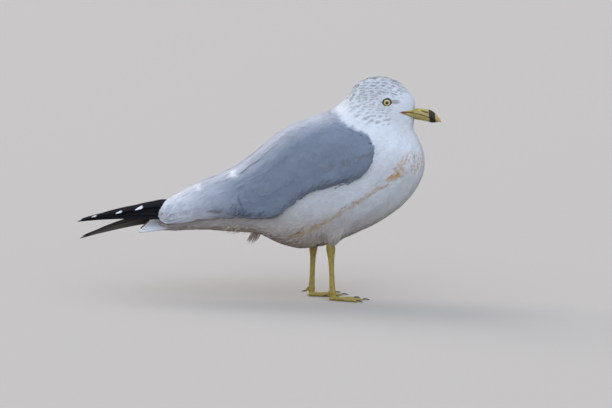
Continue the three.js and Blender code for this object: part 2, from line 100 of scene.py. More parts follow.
def behind_face(point):
    """A point of the bill drawn back to the face, so that skin closes over the bill's root."""
    ahead = turned(point, -1)
    ahead[0] = min(ahead[0], FACE_X)
    return turned(ahead) if BILL_ROOT_Z[0] < ahead[2] < BILL_ROOT_Z[1] else point


def relaxed(values, edges, rounds):
    """Values at a mesh's points, each drawn to the mean of its neighbours round after round."""
    first, second = edges.T
    size = len(values)
    count = np.bincount(edges.ravel(), minlength=size)
    for _ in range(rounds):
        total = [
            np.bincount(first, column[second], size) + np.bincount(second, column[first], size)
            for column in values.T
        ]
        values = (values + np.stack(total, 1) / count[:, None]) / 2
    return values


def fused(nodes, voxel, rounds, swell=0.4 * MM, shaped=np.array):
    """(points, triangles, normals) of CAD nodes joined as one smooth form of their own size."""
    solid = bmesh.new()
    for name in nodes:
        solid.from_mesh(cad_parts[name].data)
    bmesh.ops.remove_doubles(solid, verts=solid.verts, dist=0.01 * MM)
    solid.normal_update()
    for vertex in solid.verts:
        vertex.co = shaped(np.array(vertex.co + vertex.normal * swell))
    mesh = bpy.data.meshes.new("form")
    solid.to_mesh(mesh)
    solid.free()
    piece = bpy.data.objects.new("form", mesh)
    bpy.context.scene.collection.objects.link(piece)
    fuse = piece.modifiers.new("fuse", "REMESH")
    fuse.mode = "VOXEL"
    fuse.voxel_size = voxel
    fine = bpy.data.meshes.new_from_object(piece.evaluated_get(bpy.context.evaluated_depsgraph_get()))
    bpy.data.objects.remove(piece)
    rough = np.empty(len(fine.vertices) * 3)
    fine.vertices.foreach_get("co", rough)
    rough = rough.reshape(-1, 3)
    edges = np.empty(len(fine.edges) * 2, int)
    fine.edges.foreach_get("vertices", edges)
    edges = edges.reshape(-1, 2)
    smooth = relaxed(rough, edges, rounds)
    smooth = smooth + relaxed(rough - smooth, edges, rounds)
    fine.vertices.foreach_set("co", smooth.ravel())
    fine.update()
    normals = np.empty(len(fine.vertices) * 3)
    fine.vertex_normals.foreach_get("vector", normals)
    normals = normals.reshape(-1, 3)
    fine.calc_loop_triangles()
    triangles = np.empty(len(fine.loop_triangles) * 3, int)
    fine.loop_triangles.foreach_get("vertices", triangles)
    return smooth - normals * swell, triangles.reshape(-1, 3), normals


# The line through head, neck and trunk that the coat's lie and its depth go by, from the face to the tail.
SPINE = np.array([
    (188, 0, 224), (152, 0, 236), (130, 0, 206), (95, 0, 180),
    (40, 0, 150), (-20, 0, 128), (-70, 0, 108), (-124, 0, 92),
]) * MM
SPINE[:2] = turned(SPINE[:2])
SPINE_WAYS = unit(np.diff(SPINE, axis=0))
SPINE_STEPS = np.linalg.norm(np.diff(SPINE, axis=0), axis=1)
SPINE_STARTS = np.concatenate([[0], np.cumsum(SPINE_STEPS)])
CHIN_Z = 210 * MM
UNDER_CHIN = 3  # what each mm below the chin adds, in mm, to a place's distance from the head


def from_spine(points):
    """Each point's distance from every stretch of the spine and its share of the way along it."""
    distances, shares = [], []
    for rank, (start, way, step) in enumerate(zip(SPINE[:-1], SPINE_WAYS, SPINE_STEPS)):
        share = np.clip((points - start) @ way, 0, step)
        distance = np.linalg.norm(points - start - share[:, None] * way, axis=1)
        below_chin = np.maximum(CHIN_Z - points[:, 2], 0) * UNDER_CHIN if rank < 2 else 0
        distances.append(distance + below_chin)
        shares.append(share)
    return np.stack(distances, 1), np.stack(shares, 1)


def on_spine(points):
    """How far along the spine's line each point's nearest place is, and the point's angle round the line."""
    distances, shares = from_spine(points)
    nearest = distances.argmin(1)
    share = np.take_along_axis(shares, nearest[:, None], 1)
    way = SPINE_WAYS[nearest]
    up = np.stack([-way[:, 2], 0 * nearest, way[:, 0]], 1) * np.sign(way[:, :1])
    off = points - SPINE[nearest] - share * way
    return SPINE_STARTS[nearest] + share[:, 0], np.arctan2(off[:, 1], dot(off, up)[:, 0])


DOWN_STRETCH = 1.6


def from_bill(points):
    """Distance from the root of the bill, counted longer downwards. The feathers grow in size by it."""
    off = points - SPINE[0]
    off[:, 2] *= np.where(off[:, 2] < 0, DOWN_STRETCH, 1)
    return np.linalg.norm(off, axis=1)


def waves(points, length, seed):
    """A smooth random field from about -1 to 1 that rolls over about a length."""
    random = np.random.default_rng(seed)
    count = 7
    ways = unit(random.normal(size=(count, 3))) * random.uniform(0.7, 1.5, (count, 1)) * 2 * math.pi / length
    return np.sin(points @ ways.T + random.uniform(0, 2 * math.pi, count)).sum(1) / 3.2


# Markings: white, with a pearl-grey mantle and wings, and stains where the bird has been feeding.
# Painted shade darkens the lower belly and the wing's fold, and painted light makes the top of the back
# paler.
WHITE = np.array([0.79, 0.83, 0.89])
PEARL_GREY = np.array([0.213, 0.26, 0.347])
# Lavender for the rear of the wings, and painted light on the top of the back.
LAVENDER_AND_TOP_LIGHT = np.array([0.50, 0.53, 0.62])
OCHRE = np.array([0.60, 0.345, 0.115])
# Soiling, and painted shade on the lower belly.
SOIL_AND_SHADE = np.array([0.50, 0.42, 0.345])
# A dark colour for real specks and the smudge before the eye, and for painted shade in the wing's fold.
DARK_MARK_AND_SHADE = np.array([0.17, 0.155, 0.15])
# Lines of x and z in the side view, and spots there by their x, z and half sizes.
WING_LOW_EDGE = np.array([
    (-125, 97), (-98, 96), (-78, 98), (-55, 104), (-30, 102), (0, 101), (20, 102), (32, 112),
    (50, 127), (72, 139), (100, 146), (118, 150.5), (128, 158), (134, 171), (138, 187),
]) * MM
MANTLE_EDGE = np.array([
    (80, 262), (87, 228), (100, 215), (111, 209.5), (121, 206), (129, 203), (138, 187),
]) * MM
STAIN_LINE = np.array([
    (153, 141), (141, 137), (128, 128), (115, 120), (103, 112), (83, 98), (60, 86), (36, 78),
]) * MM
STAIN_PATCH, STAIN_PATCH_HALF = np.array([(159, 158), (17, 13)]) * MM
FRONT_STAIN, FRONT_STAIN_HALF = np.array([(183, 166), (20, 15)]) * MM
WHITE_SPOTS = np.array([(-32, 152.5, 6, 3.5), (-74, 135.6, 2.6, 2.2)]) * MM
SPECKS = np.array([(99.6, 114.5, 1.5, 1.2), (112.2, 120.8, 1.6, 1.2)]) * MM
LORE_SMUDGE = np.array([(164.5, 238.6, 6.5, 2.8)]) * MM
SCAPULAR_PARTING = np.array([(150, 186), (92, 167.5), (40, 151), (-16, 128)]) * MM


def inside_grey(points):
    """How far each point lies inside the edge of the pearl-grey mantle and wings, below 0 outside it."""
    ragged = waves(points, 14 * MM, 3) * 1.2 * MM + waves(points, 5 * MM, 4) * 0.5 * MM
    x, z = points[:, 0], points[:, 2] + ragged
    above = z - np.interp(x, *WING_LOW_EDGE.T)
    below = np.interp(x, *MANTLE_EDGE.T) - z
    return np.minimum(np.minimum(above, below), WING_LOW_EDGE[-1, 0] - x)


def greyness(points):
    """1 on mantle and wings, 0 on the white of the bird."""
    x, y, _ = points.T
    top = smoothstep(40 * MM, 20 * MM, np.abs(y)) * smoothstep(40 * MM, 80 * MM, x)
    soft = (1.4 + 1.6 * smoothstep(60 * MM, 110 * MM, x) + 6 * top) * MM
    return smoothstep(-1, 1, inside_grey(points) / soft)


def near_line(points, line):
    """Each point's distance, as seen from the side, from a line of [x, z] points."""
    flat = points[:, [0, 2]]
    distance = np.full(len(points), np.inf)
    for start, end in zip(line[:-1], line[1:]):
        way = end - start
        share = np.clip((flat - start) @ way / (way @ way), 0, 1)
        distance = np.minimum(distance, np.linalg.norm(flat - start - share[:, None] * way, axis=1))
    return distance


def spots(points, table):
    """1 on the soft oval spots of a table, as seen from the side."""
    off = (points[:, None, [0, 2]] - table[None, :, :2]) / table[None, :, 2:]
    return smoothstep(1.25, 0.6, np.linalg.norm(off, axis=2).min(1))


def in_fold(points):
    """1 in the fold where the shoulder feathers part from the wing, where a shadow is painted."""
    height = points[:, 2] - np.interp(points[:, 0], *SCAPULAR_PARTING[::-1].T)
    fold = smoothstep(-3.4 * MM, -1 * MM, height) * smoothstep(1.4 * MM, 0, height)
    return fold * smoothstep(45 * MM, 100 * MM, points[:, 0])


def markings(points):
    """The colour of skin and coat at a place, with painted shade and painted light mixed in."""
    x, y, z = points.T
    flat = points[:, [0, 2]]
    grey = greyness(points)
    belly_shade = smoothstep(124 * MM, 74 * MM, z) * (1 - 0.5 * smoothstep(60 * MM, 140 * MM, x))
    vent = smoothstep(30 * MM, -10 * MM, x) * smoothstep(102 * MM, 92 * MM, z)
    pale_end = smoothstep(-5 * MM, -85 * MM, x)
    top = smoothstep(46 * MM, 14 * MM, np.abs(y))
    right = smoothstep(-6 * MM, -16 * MM, y)
    patch = np.hypot(*((flat - STAIN_PATCH) / STAIN_PATCH_HALF).T)
    blotch = smoothstep(1.3, 0.4, patch) * smoothstep(-0.15, 0.35, waves(points, 9 * MM, 7))
    streak = smoothstep(3.4 * MM, 0.8 * MM, near_line(points, STAIN_LINE) + waves(points, 12 * MM, 8) * MM)
    broken = 0.45 + 0.55 * smoothstep(-0.25, 0.25, waves(points, 6 * MM, 10))
    front = np.hypot(*((flat - FRONT_STAIN) / FRONT_STAIN_HALF).T)
    specks = smoothstep(1.2, 0.5, front) * smoothstep(0.1, 0.5, waves(points, 6 * MM, 9))
    ochre = right * np.maximum(np.maximum(0.95 * blotch, 0.75 * specks), 0.75 * streak * broken)
    colour = np.tile(WHITE, (len(points), 1))
    for other, share in (
        (PEARL_GREY, grey),
        # lavender toward the rear of the wings, and painted light that makes the top of the back paler
        (LAVENDER_AND_TOP_LIGHT, grey * np.maximum(pale_end, 0.85 * top)),
        # painted shade: the lower belly darkens toward the bottom; the vent is a little soiled
        (SOIL_AND_SHADE, np.maximum(0.8 * belly_shade, 0.22 * vent) * (1 - grey)),
        (OCHRE, ochre * (1 - grey)),
        # painted shadow in the fold where the shoulder feathers part from the wing
        (DARK_MARK_AND_SHADE, 0.45 * grey * in_fold(points)),
        (WHITE, right * spots(points, WHITE_SPOTS)),
        (DARK_MARK_AND_SHADE, 0.8 * right * spots(points, SPECKS)),
        (DARK_MARK_AND_SHADE, 0.6 * spots(turned(points, -1), LORE_SMUDGE)),
    ):
        colour += (other - colour) * share[:, None]
    return colour * (1 + 0.035 * waves(points, 26 * MM, 5) + 0.03 * waves(points, 8 * MM, 6))[:, None]


# How deep the skin lies under the ends of the feathers, by the distance from the bill, both in mm.
COAT_DEPTHS = np.array([(0, 0.5), (15, 0.6), (45, 0.8), (75, 1.1), (120, 1.6), (350, 2.0)])


def coat_depth(points):
    return np.interp(from_bill(points) / MM, *COAT_DEPTHS.T) * MM


class Shade:
    """A socket in a material's node tree. Sums on it add Math nodes, and node() adds any other kind."""

    def __init__(self, tree, socket=None):
        self.tree = tree
        self.socket = socket

    def node(self, kind, settings=None, inputs=None, out=0):
        made = self.tree.nodes.new("ShaderNode" + kind)
        for name, value in (settings or {}).items():
            setattr(made, name, value)
        for name, value in (inputs or {}).items():
            if isinstance(value, Shade):
                self.tree.links.new(value.socket, made.inputs[name])
            else:
                made.inputs[name].default_value = value
        return Shade(self.tree, made.outputs[out])

    def _sum(self, operation, first, second=0.0):
        return self.node("Math", {"operation": operation}, {0: first, 1: second})

    def __add__(self, other):
        return self._sum("ADD", self, other)

    def __radd__(self, other):
        return self._sum("ADD", other, self)

    def __sub__(self, other):
        return self._sum("SUBTRACT", self, other)

    def __rsub__(self, other):
        return self._sum("SUBTRACT", other, self)

    def __mul__(self, other):
        return self._sum("MULTIPLY", self, other)

    def __rmul__(self, other):
        return self._sum("MULTIPLY", other, self)

    def __abs__(self):
        return self._sum("ABSOLUTE", self)

    def sine(self):
        return self._sum("SINE", self)

    def mixed(self, first, second):
        """Two colours mixed by this value."""
        return self.node("Mix", {"data_type": "RGBA"}, {0: self, 6: first, 7: second}, out=2)

    def smooth(self, low, high):
        """0 below one value, 1 above the other and smooth between them, whichever is the higher."""
        values = {"Value": self, "From Min": low, "From Max": high}
        return self.node("MapRange", {"interpolation_type": "SMOOTHSTEP"}, values)

    def times(self, value):
        """This colour made lighter or darker by a value."""
        return self.node("VectorMath", {"operation": "SCALE"}, {0: self, "Scale": value})

    def across(self, map_name):
        """The two coordinates of a UV map."""
        place = self.node("UVMap", {"uv_map": map_name})
        return [self.node("SeparateXYZ", inputs={0: place}, out=axis) for axis in (0, 1)]


def finish(name, **constants):
    """A new material with its constants set, the start of its sums, and the function that feeds it."""
    material = bpy.data.materials.new(name)
    material.use_nodes = True
    tree = material.node_tree
    surface = tree.nodes["Principled BSDF"]
    for key, value in constants.items():
        surface.inputs[key.replace("_", " ")].default_value = value

    def feed(**links):
        for key, shade in links.items():
            tree.links.new(shade.socket, surface.inputs[key.replace("_", " ")])

    return material, Shade(tree), feed


def add_mesh(name, points, triangles, material, slot, tint=None, maps=None, replaces=(), upper=None):
    """A smooth piece of the bird from arrays. upper tells a blade's upper triangles, whose rim is sharp."""
    mesh = bpy.data.meshes.new(name)
    mesh.vertices.add(len(points))
    mesh.vertices.foreach_set("co", np.asarray(points, np.float32).ravel())
    mesh.loops.add(triangles.size)
    mesh.loops.foreach_set("vertex_index", triangles.astype(np.int32).ravel())
    mesh.polygons.add(len(triangles))
    mesh.polygons.foreach_set("loop_start", np.arange(0, triangles.size, 3, dtype=np.int32))
    mesh.update(calc_edges=True)
    mesh.polygons.foreach_set("use_smooth", np.ones(len(triangles), bool))
    if upper is not None:
        edge_of = np.empty(triangles.size, np.int32)
        mesh.loops.foreach_get("edge_index", edge_of)
        above = np.bincount(edge_of, np.repeat(upper, 3), len(mesh.edges))
        rim = mesh.attributes.new("sharp_edge", "BOOLEAN", "EDGE")
        rim.data.foreach_set("value", above == 1)
    if tint is not None:
        layer = mesh.color_attributes.new("tint", "FLOAT_COLOR", "POINT")
        colours = np.column_stack([tint, np.ones(len(tint))])
        layer.data.foreach_set("color", colours.astype(np.float32).ravel())
    for map_name, coordinates in (maps or {}).items():
        layer = mesh.uv_layers.new(name=map_name)
        layer.uv.foreach_set("vector", coordinates[triangles.ravel()].astype(np.float32).ravel())
    mesh.materials.append(material)
    piece = bpy.data.objects.new(name, mesh)
    bpy.context.scene.collection.objects.link(piece)
    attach(piece, "root")
    if replaces:
        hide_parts(*replaces)
    return piece


form_points, form_triangles, form_normals = fused(
    BODY + THIGHS + WINGS + TERTIALS + EYES + BILL, voxel=2 * MM, rounds=30, shaped=behind_face
)
form = BVHTree.FromPolygons(form_points.tolist(), form_triangles.tolist())
skin_points, skin_triangles, skin_normals = fused(
    BODY + THIGHS + WINGS + EYES + BILL, voxel=2 * MM, rounds=30, shaped=behind_face
)
skin_points -= skin_normals * coat_depth(skin_points)[:, None]

skin_finish, start, feed = finish("skin_finish", Roughness=0.8)
pores = start.node("TexNoise", inputs={"Scale": 900.0, "Detail": 3.0})
feed(
    Base_Color=start.node("VertexColor", {"layer_name": "tint"}),
    Normal=start.node("Bump", inputs={"Height": pores, "Strength": 0.3, "Distance": 0.4 * MM}),
)
UNDER_COAT = 0.86  # the skin's tone beside that of the feathers over it
add_mesh(
    "skin", skin_points, skin_triangles, skin_finish, "white_feather",
    tint=markings(skin_points) * UNDER_COAT, replaces=BODY + THIGHS + WINGS,
)

# ---- Small feathers ----
# The coat: thousands of soft rounded vanes with ragged ends, each rooted in the skin and lying back over
# the next ones. They are tiny on the face, longer down the neck and loose on the belly. On the crown and
# nape many have a brown streak along the shaft.
STREAK_BROWN = np.array([0.135, 0.12, 0.13])
STREAK_GAP = 3.5 * MM
HEAD_MIDDLE = np.array([147, 0, 230]) * MM
BILL_ROOT = np.array([188, 0, 226]) * MM
HEAD_ROUND = 31 * MM
VANE_THICKNESS = 0.16 * MM
PATCH = 0.003  # across one feather's place on the baking map


def surfaces(nodes):
    """A search tree over the surfaces of CAD nodes."""
    solid = bmesh.new()
    for name in nodes:
        solid.from_mesh(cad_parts[name].data)
    tree = BVHTree.FromBMesh(solid)
    solid.free()
    return tree


GROUPS = {
    "body": surfaces(BODY),
    "thigh": surfaces(THIGHS),
    "wing": surfaces(WINGS),
    "tertials": surfaces(TERTIALS),
    "bare": surfaces(EYES + BILL),
}


def group_of(points):
    """The name of the group of CAD nodes nearest to each point."""
    names = np.array(list(GROUPS))
    distances = [[tree.find_nearest(point)[3] for point in points.tolist()] for tree in GROUPS.values()]
    return names[np.argmin(distances, axis=0)]


def scattered(count, seed, weight=None):
    """Random places on the form: (points, normals)."""
    random = np.random.default_rng(seed)
    corners = form_points[form_triangles]
    size = np.linalg.norm(np.cross(corners[:, 1] - corners[:, 0], corners[:, 2] - corners[:, 0]), axis=1)
    if weight is not None:
        size = size * weight(corners.mean(1))
    picked = random.choice(len(size), count, p=size / size.sum())
    share = random.dirichlet((1, 1, 1), count)[:, :, None]
    return (corners[picked] * share).sum(1), unit((form_normals[form_triangles[picked]] * share).sum(1))


def thinned(points, spacing):
    """Which points stay when none may be nearer to an earlier one than its spacing."""
    cell = float(spacing.max())
    taken = {}
    stay = []
    around = [(i, j, k) for i in (-1, 0, 1) for j in (-1, 0, 1) for k in (-1, 0, 1)]
    cells = np.floor(points / cell).astype(int).tolist()
    gaps = (spacing**2).tolist()
    for place, ((x, y, z), (cx, cy, cz), gap) in enumerate(zip(points.tolist(), cells, gaps)):
        near = (
            (x - px) ** 2 + (y - py) ** 2 + (z - pz) ** 2 < gap
            for i, j, k in around
            for px, py, pz in taken.get((cx + i, cy + j, cz + k), ())
        )
        if not any(near):
            taken.setdefault((cx, cy, cz), []).append((x, y, z))
            stay.append(place)
    return np.array(stay)


WING_SLOPES = np.array([(-120, 24), (-20, 33), (60, 37), (130, 40)])  # x in mm and degrees down from level


def lie(points, normals):
    """The way the coat lies at each point: back along the spine, down the thighs and down the breast."""
    x, y, z = points.T
    distances, _ = from_spine(points)
    way = unit((1 / (distances + MM) ** 3) @ SPINE_WAYS)
    leg = smoothstep(100 * MM, 84 * MM, z) * smoothstep(46 * MM, 56 * MM, x)
    leg = (leg * smoothstep(9 * MM, 13 * MM, np.abs(y)))[:, None]
    way = way * (1 - leg) + np.array([-0.3, 0, -1]) * leg
    front = smoothstep(0.2, 0.8, normals[:, 0]) * smoothstep(222 * MM, 208 * MM, z)
    way = way * (1 - front[:, None]) + np.array([0, 0, -1]) * front[:, None]
    wing = greyness(points)[:, None]
    slope = np.radians(np.interp(x / MM, *WING_SLOPES.T))
    over_edge = smoothstep(0, 16 * MM, inside_grey(points))
    slope = slope * np.where(x < 24 * MM, 0.15 + 0.85 * over_edge, 1)
    down_wing = np.stack([-np.cos(slope), 0 * slope, -np.sin(slope)], 1)
    way = way * (1 - wing) + down_wing * wing
    return unit(way - normals * dot(way, normals))


NEAR_FORM = 3 * MM
SAME_SIDE = 0.75  # least agreement of two normals that follow each other along a feather


def laid(roots, normals, lengths, yaw, rows):
    """Each feather's middle line over the form: its points, ways and normals at rows + 1 places."""
    at, up = roots, normals
    swing = (np.cos(yaw)[:, None], np.sin(yaw)[:, None])
    lines = []
    way = lie(at, up)
    for _ in range(rows + 1):
        way = unit(way - up * dot(way, up))
        lines.append((at, unit(way * swing[0] + np.cross(up, way) * swing[1]), up))
        ahead = at + lines[-1][1] * (lengths / rows)[:, None]
        at, up = ahead.copy(), up.copy()
        for place, point in enumerate(ahead.tolist()):
            hit, normal, _, distance = form.find_nearest(point)
            if distance < NEAR_FORM and normal.dot(lines[-1][2][place]) > SAME_SIDE:
                at[place], up[place] = hit, normal
        way = lie(at, up) * 0.6 + way * 0.4
    return [np.stack(values, 1) for values in zip(*lines)]


def sheet_faces(ids):
    """The triangles of a grid of points, none with all its corners on the grid's rim."""
    a, b, c, d = ids[:-1, :-1], ids[:-1, 1:], ids[1:, 1:], ids[1:, :-1]
    pairs = np.stack([a, b, c, a, c, d], -1)
    others = np.stack([a, b, d, b, c, d], -1)
    pairs[0, -1], pairs[-1, 0] = others[0, -1], others[-1, 0]
    return pairs.reshape(-1, 3)


def vanes(lines, widths, depth, lift, random, shape, tint):
    """One mesh of closed thin vanes over their middle lines.

    shape gives the columns across, how narrow the root is, how round and how ragged the end is, and the arch.
    tint gives colours from the middle line's points and the two coordinates of a vane.
    """
    points, ways, normals = lines
    count, rows = points.shape[0], points.shape[1] - 1
    columns = shape["columns"]
    v = np.linspace(0, 1, rows + 1)
    c = np.linspace(-1, 1, columns + 1)
    full = shape["narrow"] + (1 - shape["narrow"]) * np.sin(np.minimum(v * 1.5, 1) * math.pi / 2)
    full = full * np.sqrt(1 - shape.get("point", 0.3) * v**3)
    step = np.linalg.norm(points[:, -1] - points[:, 0], axis=1)
    ends = 1 - shape["round"] * np.abs(c) ** 2.2
    ends = ends[None, :] * (1 + shape["ragged"] * random.uniform(-1, 1, (count, columns + 1)))
    pulled = (v[None, :, None] ** 3) * (ends[:, None, :] - 1)
    half = widths[:, None, None] / 2 * full[None, :, None] * c[None, None, :]
    sideways = np.cross(ways, normals)
    sunk = depth[:, None] * (0.12 * (1 - v) + 0.88 * (1 - v) ** 8)
    raised = lift[:, None] * v[None, :] ** 2 - sunk
    arch = shape["arch"] * widths[:, None, None] * full[None, :, None] * c[None, None, :] ** 2
    sag = raised[:, :, None] - arch
    grid = points[:, :, None] + sideways[:, :, None] * half[..., None]
    grid = grid + ways[:, :, None] * (pulled * step[:, None, None])[..., None]
    top = grid + normals[:, :, None] * sag[..., None]
    thickness = shape.get("thickness", VANE_THICKNESS)
    under = (top - normals[:, :, None] * thickness)[:, 1:-1, 1:-1]
    tones = tint(points, np.broadcast_to(v[None, :, None], half.shape), np.broadcast_to(c, half.shape))
    upper_ids = np.arange((rows + 1) * (columns + 1)).reshape(rows + 1, columns + 1)
    lower_ids = upper_ids.copy()
    inner = (rows - 1) * (columns - 1)
    lower_ids[1:-1, 1:-1] = upper_ids.size + np.arange(inner).reshape(rows - 1, columns - 1)

    one = np.concatenate([sheet_faces(upper_ids), sheet_faces(lower_ids)[:, ::-1]])
    size = upper_ids.size + inner
    triangles = (one[None] + (np.arange(count) * size)[:, None, None]).reshape(-1, 3)
    upper = np.tile(np.arange(len(one)) < len(one) // 2, count)

    def whole(values, lower):
        both = [part.reshape(count, -1, values.shape[-1]) for part in (values, lower)]
        return np.concatenate(both, 1).reshape(-1, values.shape[-1])

    along_vane = v[None, :, None] * step[:, None, None] * np.ones_like(half)
    barbs = np.stack([half, along_vane], -1) / MM
    root_along, root_angle = on_spine(points[:, 0])
    spread = np.stack([root_angle / (2 * math.pi) + 0.5, root_along / SPINE_STARTS[-1]], 1)
    spread = spread * 0.97 + 0.015
    place = np.stack(np.broadcast_arrays(c[None, None, :] / 2, v[None, :, None] - 0.5, half)[:2], -1) * PATCH
    bake = spread[:, None, None] + place
    inside = (slice(None), slice(1, -1), slice(1, -1))
    return {
        "points": whole(top, under),
        "triangles": triangles,
        "upper": upper,
        "tint": whole(tones, tones[inside]),
        "maps": {"vane": whole(barbs, barbs[inside]), "OFBake": whole(bake, bake[inside])},
    }


EYE_CENTRES = {side: Vector(np.mean(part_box(f"eye_{side}"), axis=0)) for side in SIDES}


def streakiness(points):
    """How many feathers are streaked at a place: crown, nape and the sides of the head behind the eye."""
    ahead = turned(points, -1)
    along, angle = on_spine(points)
    hood = smoothstep(12 * MM, 22 * MM, along) * smoothstep(78 * MM, 62 * MM, along)
    hood = hood * smoothstep(2.5, 2.1, np.abs(angle))
    lores = smoothstep(158 * MM, 164 * MM, ahead[:, 0]) * smoothstep(247 * MM, 241 * MM, ahead[:, 2])
    low = smoothstep(206 * MM, 212 * MM, ahead[:, 2])
    from_eye = ahead - turned(EYE_CENTRES["right"], -1)
    brow = smoothstep(9 * MM, 7 * MM, np.hypot(from_eye[:, 0], from_eye[:, 2] - 1.5 * MM))
    return hood * low * (1 - lores) * (1 - brow) * (0.7 + 0.3 * smoothstep(230 * MM, 250 * MM, ahead[:, 2]))


def streaks(points):
    """Broken dark dashes in rows that run with the lie of the coat, from 0 to 1."""
    off = unit(turned(points, -1) - HEAD_MIDDLE)
    ahead = unit(BILL_ROOT - HEAD_MIDDLE)
    along = HEAD_ROUND * np.arccos(np.clip(off @ ahead, -1, 1))
    angle = np.arctan2(off[:, 1], off @ np.array([-ahead[2], 0, ahead[0]]))
    across = (angle * HEAD_ROUND + waves(points, 17 * MM, 41) * MM) / STREAK_GAP
    row = np.floor(across)
    chance = 43758.5453 * np.sin(row * 78.233) % 1  # a row's own fixed number from 0 to 1
    beat = along / ((6 + 5 * chance) * MM) + 7 * chance
    dash = np.sin(2 * math.pi * beat) + 0.7 * waves(points, 9 * MM, 42)
    amount = streakiness(points)
    in_row = smoothstep(0.36, 0.12, np.abs(across - row - 0.5))
    return in_row * smoothstep(-0.5, 0.3, dash + amount - 0.6) * amount


def coat_tint(random, count, root_down_and_shade=0.93, grey=False):
    """Colours for small feathers: the markings with a tone of each feather's own, roots darker as grey down
    and painted shade, and streaks on the head.
    """
    tone = 1 + 0.035 * random.standard_normal(count)

    def tint(points, v, c):
        rows = points.shape[1]
        flat = points.reshape(-1, 3).copy()
        if grey:
            flat[:, 2] = np.maximum(flat[:, 2], np.interp(flat[:, 0], *WING_LOW_EDGE.T) + 3 * MM)
        colour = markings(flat).reshape(count, rows, 1, 3)
        # darker toward the root: the grey down, and painted shade where the next feathers cover it
        colour = colour * (tone[:, None] * (root_down_and_shade + (1 - root_down_and_shade) * v[0, :, 0] ** 0.7))[:, :, None, None]
        mark = streaks(flat).reshape(count, rows, 1) * random.uniform(0.6, 1, count)[:, None, None]
        mark = mark * (1 - 0.3 * c**2)
        return colour + (STREAK_BROWN - colour) * mark[..., None]

    return tint


feather_finish, start, feed = finish("feather_finish", Roughness=0.72, Sheen_Weight=0.12, Sheen_Roughness=0.5)
side_place, along_place = start.across("vane")
barb = ((along_place - abs(side_place) * 1.3) * 9.0).sine()
feed(
    Base_Color=start.node("VertexColor", {"layer_name": "tint"}).times(0.97 + 0.05 * barb),
    Normal=start.node("Bump", inputs={"Height": barb, "Strength": 0.12, "Distance": 0.1 * MM}),
)

# For each distance from the bill in mm: spacing of the roots, length and width of a feather, lift of its end.
SPACING, LENGTH, WIDTH, LIFT = 1, 2, 3, 4
WHITE_COAT = np.array([
    (0, 0.8, 3.2, 1.4, 0.02), (25, 0.86, 6, 1.7, 0.03), (60, 1.05, 8, 2.0, 0.05),
    (90, 1.4, 11, 2.9, 0.08), (130, 1.8, 14.5, 4.1, 0.12), (200, 2.05, 17, 5, 0.25),
    (356, 2.25, 19, 5.6, 0.35),
])
GREY_COAT = np.array([
    (0, 3.2, 13, 7.5, 0.05), (120, 3.6, 15, 8.5, 0.06), (160, 4.2, 21, 11, 0.08),
    (220, 5, 30, 14, 0.1), (356, 5.4, 34, 15, 0.14),
])
BODY_VANE = {"columns": 4, "narrow": 0.45, "round": 0.26, "ragged": 0.07, "arch": 0.05}
HEAD_VANE = {"columns": 2, "narrow": 0.5, "round": 0.3, "ragged": 0.06, "arch": 0.08}
THIGH_END = 67 * MM
RUMP_END = -106 * MM
LEG_CENTRE = (86 * MM, 21 * MM)
CROWN_RUFFLE = 0.7 * MM
FOLD_LIFT = 0.35 * MM
END_OFF = 1.5 * MM  # how far off the form a feather's end may come to lie, but for the free ones below
FREE_BELOW_Z = 105 * MM
EYE_DEPTH = 12 * MM
EYE_OPENING = np.array([6.2, 4.7]) * MM  # half length and half height of the bare ring round the eye


def in_eye(points):
    """True where an eye's bare ring keeps feathers away."""
    ahead = turned(points, -1)
    inside = np.zeros(len(points), bool)
    for centre in EYE_CENTRES.values():
        off = ahead - turned(centre, -1)
        in_ring = np.hypot(*(off[:, [0, 2]] / EYE_OPENING).T) < 1
        inside |= in_ring & (np.abs(off[:, 1]) < EYE_DEPTH)
    return inside


def sizes_at(points, column):
    """A column of the two tables at each place, in metres."""
    reach = from_bill(points) / MM
    grey, white = (np.interp(reach, table[:, 0], table[:, column]) for table in (GREY_COAT, WHITE_COAT))
    return (white + (grey - white) * smoothstep(0, 22 * MM, inside_grey(points))) * MM


def coat_roots(tries, seed, part, group_names):
    """Roots where part(points) holds, on some groups of nodes: (points, normals)."""
    points, normals = scattered(tries, seed, part)
    keep = thinned(points, sizes_at(points, SPACING))
    keep = keep[np.isin(group_of(points[keep]), group_names) & ~in_eye(points[keep])]
    return points[keep], normals[keep]


